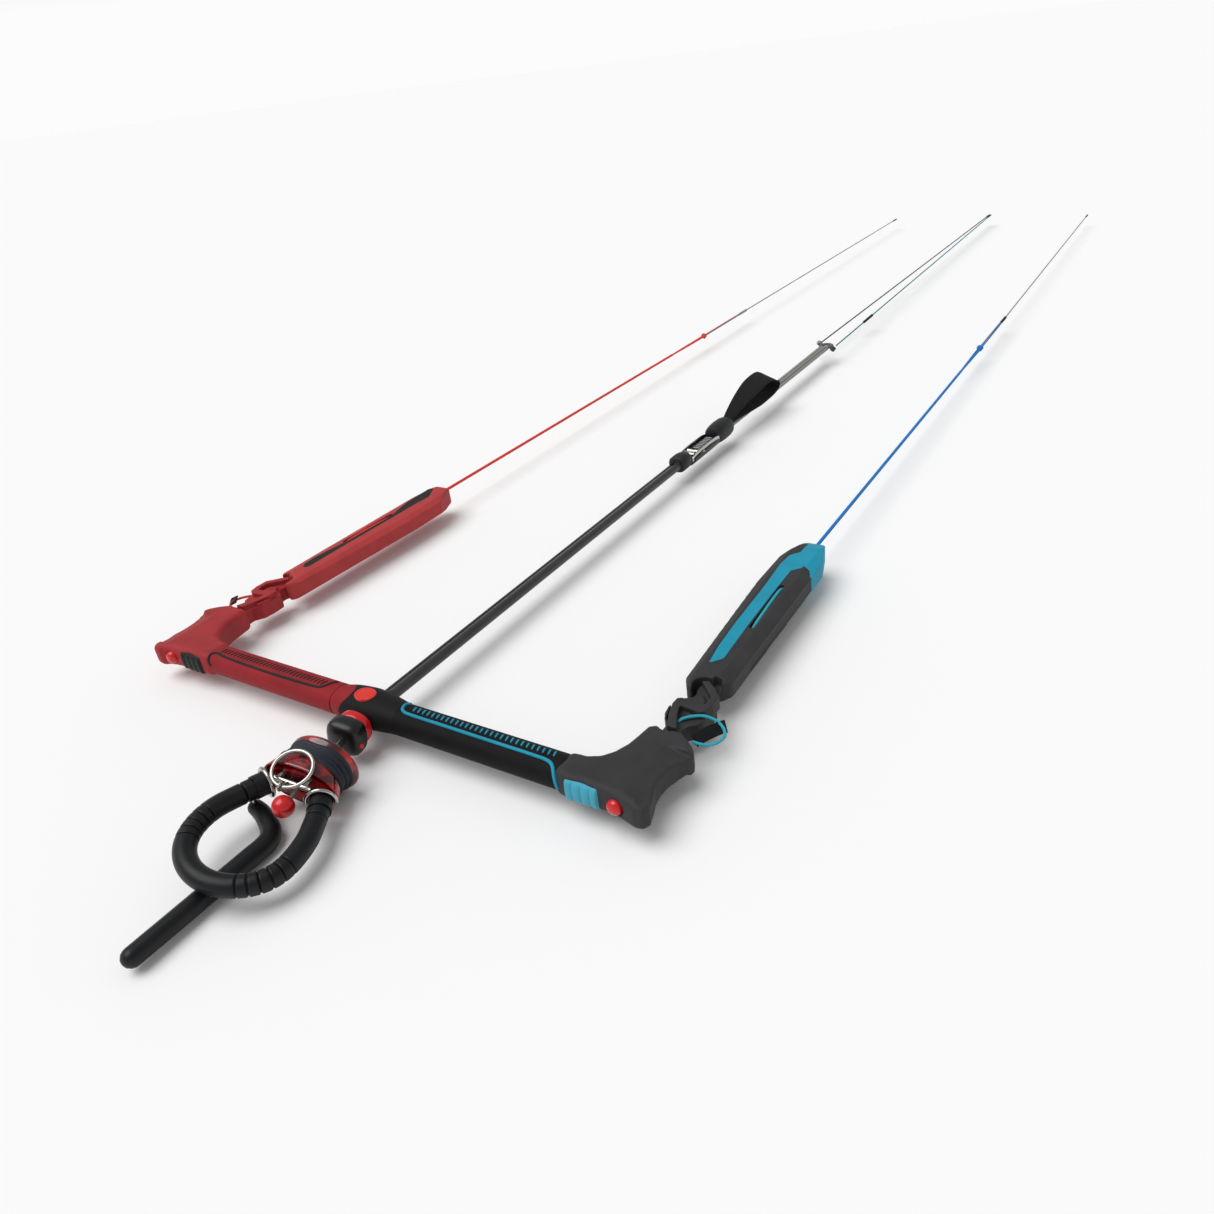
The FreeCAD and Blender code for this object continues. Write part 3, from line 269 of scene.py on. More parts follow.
def finish_mesh(name, verts, faces, material, uvs=None, sharp=40.0):
    mesh = bpy.data.meshes.new(name)
    mesh.from_pydata([tuple(v) for v in verts], [], faces)
    if uvs is not None:
        layer = mesh.uv_layers.new(name="UVMap")
        for loop_index, uv in enumerate(uvs):
            layer.data[loop_index].uv = uv
    mesh.polygons.foreach_set("use_smooth", [True] * len(mesh.polygons))
    mesh.set_sharp_from_angle(angle=math.radians(sharp))
    obj = bpy.data.objects.new(name, mesh)
    scene.collection.objects.link(obj)
    if material is not None:
        mesh.materials.append(material)
    return obj


def loft(name, rings, material, sharp=40.0):
    """Skin over rings of the same number of points, capped at both ends."""
    count = len(rings[0])
    lengths = [0.0]
    for one, two in zip(rings, rings[1:]):
        middle = (sum(one, Vector()) - sum(two, Vector())) / count
        lengths.append(lengths[-1] + middle.length)
    verts = [point for ring in rings for point in ring]
    faces = []
    uvs = []
    for i, (v0, v1) in enumerate(zip(lengths, lengths[1:])):
        low, high = i * count, (i + 1) * count
        for k in range(count):
            n = (k + 1) % count
            faces.append((low + k, low + n, high + n, high + k))
            uvs += [(k / count, v0), ((k + 1) / count, v0), ((k + 1) / count, v1), (k / count, v1)]
    faces.append(tuple(reversed(range(count))))
    faces.append(tuple(range((len(rings) - 1) * count, len(rings) * count)))
    uvs += [(0.5, lengths[0])] * count + [(0.5, lengths[-1])] * count
    return finish_mesh(name, verts, faces, material, uvs, sharp)


def turn(count):
    """Evenly spaced angles round a full turn."""
    return [2 * math.pi * k / count for k in range(count)]


def tangents(path):
    """Direction of a path at each of its points."""
    last = len(path) - 1
    return [(path[min(i + 1, last)] - path[max(i - 1, 0)]).normalized() for i in range(last + 1)]


def path_axes(path):
    """The side and up directions along a path, without twist."""
    directions = tangents(path)
    axes = []
    up = Vector((0, 0, 1)) if abs(directions[0].z) < 0.9 else Vector((0, 1, 0))
    for tangent in directions:
        side = tangent.cross(up).normalized()
        up = side.cross(tangent).normalized()
        axes.append((side, up))
    return axes


def dome(end, outward, axes, radius):
    """Centre, axes and radius of the rings of a rounded end, from its rim to its tip."""
    angles = [math.radians(angle) for angle in (15, 35, 60, 85)]
    return [(end + outward * radius * math.sin(a), axes, radius * math.cos(a)) for a in angles]


def tube(name, path, radius, material, sides=20, rounded=False):
    """Tube of one radius in metres, or of a radius worked out from each point's number."""
    axes = path_axes(path)
    radii = [radius(i) if callable(radius) else radius for i in range(len(path))]
    rings = list(zip(path, axes, radii))
    if rounded:
        first = dome(path[0], (path[0] - path[1]).normalized(), axes[0], radii[0])
        last = dome(path[-1], (path[-1] - path[-2]).normalized(), axes[-1], radii[-1])
        rings = first[::-1] + rings + last
    points = []
    for centre, (side, up), r in rings:
        points.append([centre + side * (r * math.cos(a)) + up * (r * math.sin(a)) for a in turn(sides)])
    return loft(name, points, material, sharp=50)


def superellipse(half_a, half_b, power, count=48):
    """Points of a rounded rectangle; a power of 2 is an ellipse."""
    points = []
    for a in turn(count):
        c, s = math.cos(a), math.sin(a)
        points.append((
            half_a * math.copysign(abs(c) ** (2 / power), c),
            half_b * math.copysign(abs(s) ** (2 / power), s)))
    return points


def smooth_steps(keys, count):
    """Evenly spaced rows through keyed rows, eased by a Catmull-Rom curve."""
    rows = []
    for step in range(count + 1):
        at = keys[0][0] + (keys[-1][0] - keys[0][0]) * step / count
        i = max(k for k in range(len(keys) - 1) if keys[k][0] <= at + 1e-9)
        span = keys[i + 1][0] - keys[i][0]
        f = (at - keys[i][0]) / span
        values = [at]
        for column in range(1, len(keys[0])):
            p0 = keys[max(i - 1, 0)][column]
            p1 = keys[i][column]
            p2 = keys[i + 1][column]
            p3 = keys[min(i + 2, len(keys) - 1)][column]
            values.append(0.5 * (
                2 * p1 + (p2 - p0) * f + (2 * p0 - 5 * p1 + 4 * p2 - p3) * f * f
                + (3 * p1 - p0 - 3 * p2 + p3) * f ** 3))
        rows.append(values)
    return rows


def curve_through(points, count):
    """Points along a smooth curve through keyed points, in millimetres."""
    keys = [(i, *point) for i, point in enumerate(points)]
    return [Vector(row[1:]) * 0.001 for row in smooth_steps(keys, count)]


def bake(obj):
    """Apply an object's modifiers."""
    graph = bpy.context.evaluated_depsgraph_get()
    mesh = bpy.data.meshes.new_from_object(obj.evaluated_get(graph))
    old = obj.data
    obj.modifiers.clear()
    obj.data = mesh
    bpy.data.meshes.remove(old)


def discard(obj):
    mesh = obj.data
    bpy.data.objects.remove(obj)
    bpy.data.meshes.remove(mesh)


def prism(outline, low, high, side):
    """Closed upright solid over an outline."""
    count = len(outline)
    points = [(side * x, y) for x, y in outline]
    if side < 0:
        points.reverse()
    verts = [mm(x, y, low) for x, y in points] + [mm(x, y, high) for x, y in points]
    faces = [tuple(reversed(range(count))), tuple(range(count, 2 * count))]
    faces += [(k, (k + 1) % count, count + (k + 1) % count, count + k) for k in range(count)]
    return finish_mesh("carve_prism", verts, faces, None)


def block(side, low_corners, height):
    """Closed solid between four given corners and a flat far side, for carving slopes."""
    ends = low_corners + [(x, y, height) for x, y, _ in low_corners]
    verts = [mm(side * x, y, z) for x, y, z in ends]
    faces = [(0, 1, 2, 3), (7, 6, 5, 4)] + [(k, k + 4, (k + 1) % 4 + 4, (k + 1) % 4) for k in range(4)]
    solid = finish_mesh("carve_block", verts, faces, None)
    edit = bmesh.new()
    edit.from_mesh(solid.data)
    bmesh.ops.triangulate(edit, faces=edit.faces)
    bmesh.ops.recalc_face_normals(edit, faces=edit.faces)
    edit.to_mesh(solid.data)
    edit.free()
    return solid


def slope(side, corners):
    """The same slope carved from above and, mirrored, from below."""
    below = [(x, y, 2 * AXIS_Z - z) for x, y, z in corners]
    return [block(side, corners, AXIS_Z + 30), block(side, below, AXIS_Z - 30)]


def ellipsoid(centre, radii, angle, side):
    """Closed ellipsoid, turned by some degrees about Z, for carving."""
    rings = []
    spin = Matrix.Rotation(math.radians(angle) * side, 3, "Z")
    middle = mm(side * centre[0], centre[1], centre[2])
    for i in range(1, 24):
        a = math.pi * i / 24
        x, y, z = radii[0] * math.sin(a), radii[1] * math.sin(a), -radii[2] * math.cos(a)
        rings.append([middle + spin @ mm(x * math.cos(b), y * math.sin(b), z) for b in turn(32)])
    return loft("carve_ball", rings, None)


def sculpt(name, adds, cuts, material, voxel, softness):
    """One soft-edged solid from overlapping solids less some carving solids; voxel is its grain in mm."""
    base = adds[0]
    for operation, tools in (("UNION", adds[1:]), ("DIFFERENCE", cuts)):
        for tool in tools:
            boolean = base.modifiers.new(operation.lower(), "BOOLEAN")
            boolean.operation = operation
            boolean.object = tool
            boolean.solver = "EXACT"
    remesh = base.modifiers.new("remesh", "REMESH")
    remesh.mode = "VOXEL"
    remesh.voxel_size = voxel * 0.001
    relax = base.modifiers.new("relax", "SMOOTH")
    relax.factor = 0.5
    relax.iterations = softness
    bake(base)
    for extra in adds[1:] + cuts:
        discard(extra)
    mesh = base.data
    mesh.materials.clear()
    mesh.materials.append(material)
    mesh.polygons.foreach_set("use_smooth", [True] * len(mesh.polygons))
    base.name = name
    return base


def place(obj, body, *nodes, slot):
    """Put a piece on its body, in place of the CAD nodes that it shows."""
    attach(obj, body)
    if nodes:
        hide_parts(*nodes)


# ---- hub

# Across the bar: x, reach away from the kite, reach towards it, half height, shift towards the kite.
HUB = [
    (-36, 12.6, 12.6, 10.9, 0.0),
    (-32, 13.4, 13.4, 11.6, 0.0),
    (-22, 15.6, 16.2, 12.9, 0.6),
    (-10, 16.4, 17.6, 13.8, 1.2),
    (0, 16.6, 18.0, 14.0, 1.6),
    (10, 16.2, 17.2, 13.6, 1.2),
    (22, 14.6, 15.6, 12.6, 0.6),
    (34, 13.3, 13.5, 11.6, 0.0),
]


def hub_point(x, y, z):
    """Point of the hub's skin over a unit section point."""
    rows = smooth_steps(HUB, 60)
    at = min(59.999, max(0.0, (x + 36) / 70 * 60))
    f = at - int(at)
    back, front, half, shift = (
        a + (b - a) * f for a, b in zip(rows[int(at)][1:], rows[int(at) + 1][1:]))
    reach = front if y > 0 else back
    seam = 0.35 * math.exp(-((x - 7 + 4 * z) / 0.7) ** 2)
    return mm(x, y * (reach - seam) + shift * 0.3, AXIS_Z + z * (half - seam))


def build_hub():
    section = superellipse(1, 1, 2.35, 64)

    def edge(y):
        return -15.0 - 0.045 * (16 * y + 4) ** 2

    rings = []
    for step in range(61):
        f = step / 60
        rings.append([hub_point(edge(y) + (34 - edge(y)) * f, y, z) for y, z in section])
    hub = loft("hub_shell", rings, M["hub"])
    rings = []
    for step in range(31):
        f = step / 30
        groove = 0.35 if step == 30 else 0.0
        across, over = 1 - groove / 16, 1 - groove / 13
        rings.append([hub_point(-36 + (edge(y) + 36) * f, y * across, z * over) for y, z in section])
    join(hub, [loft("hub_red", rings, M["red_grip"])])
    place(hub, "bar", "centre_hub", slot="hub")

    rings = []
    for radius, height in (
            (8.6, 26.4), (8.6, 28.2), (8.2, 28.7), (7.2, 28.9), (6.9, 28.5), (6.4, 28.5), (3.0, 28.9),
            (0.4, 29.0)):
        rings.append([
            mm(-2.7 + radius * 1.12 * math.cos(a), -0.3 + radius * 0.92 * math.sin(a), height)
            for a in turn(48)])
    place(loft("hub_cap", rings, M["red_cap"]), "bar", "centre_cap", slot="cap")


# ---- grips

def grip_point(side, x, angle, lift=0.0):
    """Point on a grip's skin; the angle runs from the kite side over the top."""
    a = math.radians(angle)
    c, s = math.cos(a), math.sin(a)
    power = 2 / 2.3
    y = (13.5 + lift) * math.copysign(abs(c) ** power, c)
    z = (11.5 + lift) * math.copysign(abs(s) ** power, s)
    return mm(side * x, y, AXIS_Z + z)


# Each trim line's places: distance from the hub and angle round the grip.
TRIM_LINES = {
    "left": [
        (41.8, 63), (43.5, 76), (45, 87), (49, 106), (58, 113), (90, 117), (130, 117), (165, 113),
        (180, 107), (185, 112), (187, 126), (186, 148), (183, 168)],
    "right": [
        (36.5, 55), (35, 64), (35, 76), (36, 88), (39.5, 99), (48, 104), (90, 104.5), (130, 105),
        (165, 105.5), (177, 109), (182.5, 124), (186, 155), (188, 190)],
}
# Ribs on each grip: first and last distance, lowest and highest angle, how many.
RIBS = {"left": (51, 177, 76, 99, 31), "right": (46, 177, 67, 89, 29)}


def build_grip(name, side):
    rings = []
    for x in [34 + 156 * step / 80 for step in range(81)]:
        ease = max(0.0, (x - 182) / 8) ** 2
        rings.append([grip_point(side, x, 360 * k / 64, -0.8 * ease) for k in range(64)])
    colour = "red_grip" if side < 0 else "black_grip"
    place(loft("grip_foam_" + name, rings, M[colour]), "bar", "grip_" + name, slot="grip_" + name)

    dark = "black_foam" if side < 0 else "teal"
    keys = [(i, x, angle) for i, (x, angle) in enumerate(TRIM_LINES[name])]
    path = [grip_point(side, x, angle, -0.1) for _, x, angle in smooth_steps(keys, 160)]
    line = tube("trim_line_" + name, path, 0.00115 if side < 0 else 0.00135, M[dark], 12, True)
    ribs = []
    first, last, low, high, count = RIBS[name]
    for number in range(count):
        x = first + (last - first) * number / (count - 1)
        rib = []
        for step in range(9):
            f = step / 8
            rib.append(grip_point(side, x + 0.8 - 1.6 * f, high + (low - high) * f, -0.25))
        ribs.append(tube("rib", rib, lambda i: (0.0009 if 0 < i < 8 else 0.0005), M[dark], 8, True))
    join(line, ribs)
    place(line, "bar", "grip_trim_" + name, slot="trim_" + name)


def join(target, others):
    """Merge objects into the target."""
    for obj in scene.objects:
        obj.select_set(False)
    for obj in others:
        obj.select_set(True)
    target.select_set(True)
    bpy.context.view_layer.objects.active = target
    bpy.ops.object.join()
    target.select_set(False)
    return target


# ---- bar ends

END_OUTLINE = [
    (184, -12.6), (196, -14.5), (225, -14.5), (236, -15.5), (244, -17.5), (252, -20), (259, -19.5),
    (262, -14), (259, -4), (256, 4), (254.5, 14), (255.5, 24), (258.5, 33), (262.5, 38.5), (264.5, 44),
    (261.5, 50), (254.5, 56.5), (246.5, 62), (238, 64), (226, 63), (220, 59), (218.5, 48), (216.5, 36),
    (212, 25), (206, 17.5), (198, 13.5), (184, 12.6),
]


def socket_cut(y, radius, points, side):
    """Round hole from top to bottom that clears the neck's end."""
    angles = turn(points)
    return prism([(235 + radius * math.cos(a), y + radius * math.sin(a)) for a in angles], -10, 40, side)


def bevelled(outline, half_height, side, width, segments, limit):
    """Flat solid about the middle height with bevelled edges."""
    body = prism(outline, AXIS_Z - half_height, AXIS_Z + half_height, side)
    bevel = body.modifiers.new("bevel", "BEVEL")
    bevel.width = width
    bevel.segments = segments
    bevel.limit_method = "ANGLE"
    bevel.angle_limit = math.radians(limit)
    bake(body)
    return body


def build_bar_end(name, side):
    """End with a hollowed nose and a thin outer edge; the left nose is shorter."""
    short = 4.5 if side < 0 else 0.0
    outline = [(x - short * (x > 250 and y < 0), y) for x, y in END_OUTLINE]
    body = bevelled(outline, 11.4, side, 0.006, 5, 60)
    cuts = [
        ellipsoid((272, 20, 5), (15, 28, 9), 4, side),
        ellipsoid((262, -16, 33), (16, 15, 10.5), 20, side),
        ellipsoid((262, -16, -4), (16, 15, 9.5), 20, side),
        ellipsoid((237, -24, 14), (8, 12, 8.5), 0, side),
        ellipsoid((208.5, -17, 14), (14.5, 5.5, 14), 0, side),
        socket_cut(67, 10, 16, side),
    ]
    cuts += slope(side, [(240, -12, 25.7), (272, -12, 18.5), (272, 43, 18.5), (241, 43, 25.7)])
    material = M["red_end"] if side < 0 else M["charcoal"]
    end = sculpt("end_shell_" + name, [body], cuts, material, 1.0, 5)
    place(end, "bar", "bar_end_" + name, slot="end_" + name)
    build_pad(name, side)
    build_button(name, side)


def build_pad(name, side):
    """Thumb pad with four lobes."""
    rings = []
    for step in range(61):
        f = step / 60
        x = 194.5 + 28.5 * f
        ripple = 1.1 * abs(math.sin(math.pi * 4 * f)) ** 0.6
        edge = 1 - max(0.0, abs(2 * f - 1) - 0.86) / 0.14 * 0.5
        ring = []
        for y, z in superellipse(1, 1, 3.2, 40):
            reach = 4.6 * edge + (ripple if y < 0 else 0)
            lobe = 1 if z > 0 else 0.86 + 0.14 * abs(math.sin(math.pi * 4 * f)) ** 0.5
            ring.append(mm(side * x, -11.0 + y * reach, 13.4 + z * 9.2 * lobe * (0.9 + 0.1 * edge)))
        rings.append(ring)
    pad = "black_pad" if side < 0 else "teal_pad"
    place(loft("pad_" + name, rings, M[pad]), "bar", "thumb_pad_" + name, slot="pad_" + name)


def build_button(name, side):
    rings = []
    for y, radius in (
            (-6, 6.1), (-14, 6.1), (-16.5, 5.9), (-18.2, 5.2), (-19.4, 3.8), (-20.0, 1.8), (-20.1, 0.3)):
        rings.append([
            mm(side * 236 + radius * math.cos(a), y, AXIS_Z + radius * math.sin(a)) for a in turn(40)])
    button = loft("button_" + name, rings, M["red_gloss"])
    place(button, "button_" + name, "end_button_" + name, slot="button")


# ---- necks and floats

NECK_OUTLINE = [
    (228.5, 64), (241.5, 64), (241.5, 70.5), (244.5, 76), (249.5, 80), (250.8, 85), (250.8, 107),
    (248, 112.5), (243, 116), (240.5, 120), (240.5, 124), (229.5, 124), (229.5, 118.5), (231.5, 112.5),
    (230.5, 106.5), (224.5, 104), (221.3, 101), (220.9, 88), (222.4, 78.5), (226.5, 73), (228.5, 70.5),
]
NECK_WEB = [
    (240.5, 64.5), (239, 67), (233.5, 78.5), (230.5, 87), (230.6, 90), (238, 88.9), (246, 87.6),
    (250.3, 90.6), (252.2, 98.5), (251.6, 111), (241.2, 121.5), (236, 125.5), (231, 123.5), (237, 117.5),
    (246.2, 108), (246.6, 100), (244, 95.2), (236, 97), (227, 99), (223.6, 97), (223.4, 90), (227, 77.5),
    (232.5, 64.5),
]
NECK_LIP = [(221.2, 88), (222.6, 79), (226, 74.5), (225, 80), (222, 90)]
NECK_STEP = [(225, 101.6), (233, 100.6), (243.5, 98), (244, 104), (238, 111), (233.5, 109.5), (231.4, 105)]


def build_neck(name, side):
    """Rubber link: a low base with a raised web that runs in a Z."""
    parts = [prism(NECK_OUTLINE, AXIS_Z - 9.6, AXIS_Z + 4.0, side)]
    for outline, top in ((NECK_WEB, 9.4), (NECK_LIP, 7.4), (NECK_STEP, 6.4)):
        parts.append(prism(outline, AXIS_Z - 2, AXIS_Z + top, side))
    material = M["red_end"] if side < 0 else M["charcoal"]
    link = sculpt("neck_shell_" + name, parts, [], material, 0.5, 4)
    place(link, "neck_link_" + name, "neck_" + name, slot="neck_" + name)


# ---- floats and bungees

FLOAT_OUTLINE = [
    (223, 113.5), (229, 113.5), (238, 120), (251.5, 132), (251.5, 140), (248, 332), (238, 366), (219, 366),
    (206, 334), (206, 285), (212, 190), (216.5, 124),
]
SLOT = [
    (232.4, 207), (233.4, 205), (235.8, 205), (236.8, 207), (234.1, 278), (233.1, 280), (230.7, 280),
    (229.7, 278),
]
STRIPS = {
    "left": [
        (229.9, 153), (231.5, 147), (234.4, 145), (239.5, 152), (241.5, 159.5), (238, 183), (234.9, 203),
        (233.9, 212), (231.6, 276), (235, 288), (240.5, 314), (240.5, 348), (236, 353), (224.5, 331),
        (226.4, 312), (227.2, 267), (229.6, 199.5)],
    "right": [
        (225.6, 146), (229, 150), (233.7, 156), (231.6, 197), (231.0, 209), (229.0, 274), (228.6, 306),
        (236, 314), (236, 326), (224, 338), (216.5, 331), (214.9, 315), (217.9, 270), (219.8, 210),
        (222.4, 170)],
}
# What the right float's coloured tip leaves bare.
TIP_EDGES = [
    [(195, 90), (262, 90), (262, 304), (247, 304), (243, 313.5), (236, 317.5), (215, 318.5), (195, 318.5)],
    [(195, 310), (214.5, 310), (216.5, 333), (223.4, 341), (224, 357), (219, 372), (195, 372)],
]


def float_solid(side, grow=0.0):
    """The float's outer form: a flat bar with sloped shoulders, wider towards the far end."""
    middle_x, middle_y = 229.0, 245.0
    short = 5.0 if side < 0 else 0.0
    outline = []
    for x, y in FLOAT_OUTLINE:
        far = short if y > middle_y else 0.0
        outline.append((x + math.copysign(grow, x - middle_x), y - far + math.copysign(grow, y - middle_y)))
    body = bevelled(outline, 10.2 + grow, side, 0.003, 3, 25)
    up = 24.4 + grow
    cuts = []
    for corners in (
            [(240.5, 122, up), (252.5, 122, 20.4), (249.5, 372, 20.4), (237, 372, up)],
            [(223.5, 108, up), (214.5, 108, 20), (204, 288, 20), (214, 288, up)],
            [(214, 284, up), (204.5, 284, 20), (204.5, 372, 20), (214.5, 372, up)],
            [(200, 352, up + 0.2), (200, 372, 20.5), (260, 372, 20.5), (260, 352, up + 0.2)]):
        cuts += slope(side, corners)
    return body, cuts


def build_float(name, side):
    body, cuts = float_solid(side)
    shift = 2.2 if side < 0 else 0.0
    cuts.append(socket_cut(119.5, 9.6, 24, side))
    cuts.append(prism([(236, 122), (245.5, 126), (245.5, 131), (238.5, 133)], AXIS_Z + 1, 40, side))
    cuts.append(prism([(x + shift, y) for x, y in SLOT], AXIS_Z + 4.2, AXIS_Z + 15, side))
    if side > 0:
        recess, low, high = [(249.6, 168), (260, 160), (260, 316), (248.2, 312)], -5.5, 4.5
    else:
        recess, low, high = [(251, 160), (260, 150), (260, 316), (249.4, 312)], -4.5, 3.5
    cuts.append(prism(recess, AXIS_Z + low, AXIS_Z + high, side))
    material = M["red_float"] if side < 0 else M["charcoal"]
    foam = sculpt("float_foam_" + name, [body], cuts, material, 0.8, 3)
    place(foam, "float_body_" + name, "float_" + name, slot="float_" + name)

    paint = M["black_foam" if side < 0 else "teal"]
    strip = surface_strip("strip_" + name, side, STRIPS[name], paint)
    if side > 0:
        tip, cuts = float_solid(side, 0.45)
        cuts += [prism(edge, -20, 50, side) for edge in TIP_EDGES]
        join(strip, [sculpt("strip_cap_" + name, [tip], cuts, paint, 0.7, 2)])
    place(strip, "float_body_" + name, "float_strip_" + name, slot="strip_" + name)

    keys = [
        (235.4, 203, 18.4), (234.9, 214, 21.6), (233.4, 242, 22.4), (231.7, 271, 21.6), (231.2, 282, 18.4)]
    path = curve_through([(side * (x + shift), y, z) for x, y, z in keys], 40)
    inner = tube("inner_cord_" + name, path, 0.0016, M["leader_left" if side < 0 else "bungee_right"], 12)
    place(inner, "float_body_" + name, "leader_inner_" + name, slot="leader_" + name)


def surface_strip(name, side, outline, material):
    """Thin raised panel on a float's flat top, filled row by row between the outline's two edges."""
    rows = []
    low = min(y for _, y in outline)
    high = max(y for _, y in outline)
    for step in range(121):
        y = low + (high - low) * step / 120
        hits = []
        for (x0, y0), (x1, y1) in zip(outline, outline[1:] + outline[:1]):
            if min(y0, y1) <= y <= max(y0, y1) and y0 != y1:
                hits.append(x0 + (x1 - x0) * (y - y0) / (y1 - y0))
        if len(hits) >= 2 and max(hits) - min(hits) > 0.05:
            rows.append((y, min(hits), max(hits)))
    rings = []
    for y, x0, x1 in rows:
        xs = [x0 + (x1 - x0) * k / 12 for k in range(13)]
        top = [mm(side * x, y, AXIS_Z + 10.25 - 1.15 * max(0.0, x - 240) / 3) for x in xs]
        rings.append(top + [mm(side * x, y, AXIS_Z + 8.2) for x in reversed(xs)])
    return loft(name, rings, material, sharp=50)


BUNGEES = {
    "left": [
        (-243, 89, 17), (-251, 90.5, 17), (-259, 88.5, 15.5), (-265, 83.5, 14.5), (-267, 78, 14),
        (-264, 72.5, 13.5), (-256, 70, 13.5), (-246, 71.5, 13.5)],
    "right": [
        (234.5, 77.5, 18), (237.5, 80, 20), (243, 84.6, 20.4), (250.4, 88.5, 20), (258.7, 89.6, 18),
        (265.4, 87, 16), (269.5, 82, 14.5), (270.1, 77.5, 14), (267.8, 70.5, 14), (261.8, 66, 13.8),
        (253, 65.4, 13.8)],
}
# Pull tabs: places along the middle, half width, direction of the width.
TABS = {
    "left": ([(-263, 75, 14), (-266, 78, 14), (-269.5, 81.5, 14), (-272.5, 85, 14)], 3.8, (0.7, 0.7, 0.3)),
    "right": ([(266, 91, 14), (262, 86, 14), (257, 77, 14), (253, 67, 14)], 4.8, (0.44, -0.24, -0.78)),
}


def build_bungee(name):
    path = curve_through(BUNGEES[name], 90)
    loop = tube("bungee_cord_" + name, path, 0.0012, M["bungee_" + name], 12, True)
    place(loop, "bungee_loop_" + name, "bungee_" + name, slot="bungee_" + name)
    keys, half_width, across = TABS[name]
    path = curve_through(keys, 24)
    widths = [half_width] * len(path)
    tab = band("bungee_webbing_" + name, path, widths, 0.8, M["webbing"], Vector(across))
    place(tab, "bungee_loop_" + name, "bungee_tab_" + name, slot="tab")


def band(name, path, half_widths, half_thick, material, across):
    """Flat strap along a path; across is the direction of its width."""
    rings = []
    for point, tangent, half in zip(path, tangents(path), half_widths):
        wide = (across - tangent * across.dot(tangent)).normalized() * 0.001
        thick = tangent.cross(wide)
        rings.append([
            point + wide * (a * half) + thick * (b * half_thick) for a, b in superellipse(1, 1, 5, 40)])
    return loft(name, rings, material, sharp=60)


# ---- lines

def straight(start, end, count):
    return [start.lerp(end, k / (count - 1)) for k in range(count)]


def route_line(points):
    """Points read from the smooth spline over a cord's route."""
    curve = bpy.data.curves.new("route", "CURVE")
    curve.dimensions = "3D"
    spline = curve.splines.new("NURBS")
    spline.points.add(len(points) - 1)
    for spot, at in zip(spline.points, points):
        spot.co = (*at, 1.0)
    spline.order_u = 3
    spline.use_endpoint_u = True
    spline.resolution_u = 8
    holder = bpy.data.objects.new("route", curve)
    mesh = bpy.data.meshes.new_from_object(holder)
    line = [vertex.co.copy() for vertex in mesh.vertices]
    bpy.data.meshes.remove(mesh)
    bpy.data.objects.remove(holder)
    bpy.data.curves.remove(curve)
    return line


def cord(name, route, diameter, material, body, nodes, slot):
    """A line pulled straight along its route; length and diameter in metres."""
    path = route_line(route)
    obj = tube(name, path, diameter / 2, material, 12, True)
    place(obj, body, *nodes, slot=slot)
    [tuple(point) for point in path]


def knot(name, centre, size, material, body, slot):
    """Lumpy ball."""
    rings = []
    for i in range(1, 16):
        a = math.pi * i / 16
        ring = []
        for b in turn(24):
            reach = size * math.sin(a) * (1 + 0.14 * math.sin(3 * b + 4 * a))
            ring.append(centre + mm(reach * math.cos(b), -size * math.cos(a), reach * math.sin(b)))
        rings.append(ring)
    place(loft(name, rings, material), body, slot=slot)


def build_steering_line(name, side):
    body = "steering_line_" + name
    slot = "leader_" + name
    material = M["leader_" + name]
    split = mm(side * 224.12, 924, 14.6)
    knot_at = mm(side * 223.2, 1037, 14)
    cord("leader_rope_" + name, [mm(side * 228.5, 367.4, 17.5), mm(side * 226.8, 580, 16.4), split],
         0.0034, material, body, ["leader_" + name], slot)
    for number, shift in enumerate((-1.6, 1.6)):
        cord("leader_split_%s_%d" % (name, number),
             [split, mm(side * 223.6 + shift * 0.7, 980, 14.3), knot_at + mm(shift, 0, 0)],
             0.0026, material, body, [], slot)
    knot("leader_knot_" + name, knot_at, 4.3, material, body, slot)
    for number, shift in enumerate((-1.3, 1.3)):
        paint = material if number == (0 if side < 0 else 1) else M["grey_line"]
        cord("pigtail_rope_%s_%d" % (name, number),
             [mm(side * 223.2 + shift, 1040, 14), mm(side * 222.9 + shift, 1110, 14),
              mm(side * 222.5 + shift * 0.8, 1178, 14)],
             0.0020, paint, body, ["pigtail_" + name] if number == 0 else [], slot)
    start, end = mm(side * 222.5, 1206, 14), mm(side * 213.5, 2074, 14)
    sleeve = tube("line_sleeve_" + name, straight(mm(side * 222.5, 1178, 14), start, 12), 0.0021,
                  M["sleeve_grey" if side < 0 else "sleeve_black"], 16, True)
    place(sleeve, body, slot="line")
    cord("flying_rope_" + name, [start, mm(side * 218.5, 1592, 14), end], 0.0018,
         M["grey_line"], body, ["flying_line_" + name], "line")
    tip = straight(mm(side * 213.75, 2050, 14), end, 8)
    place(tube("line_tip_" + name, tip, 0.0015, M["dark_line"], 12, True), body, slot="line")


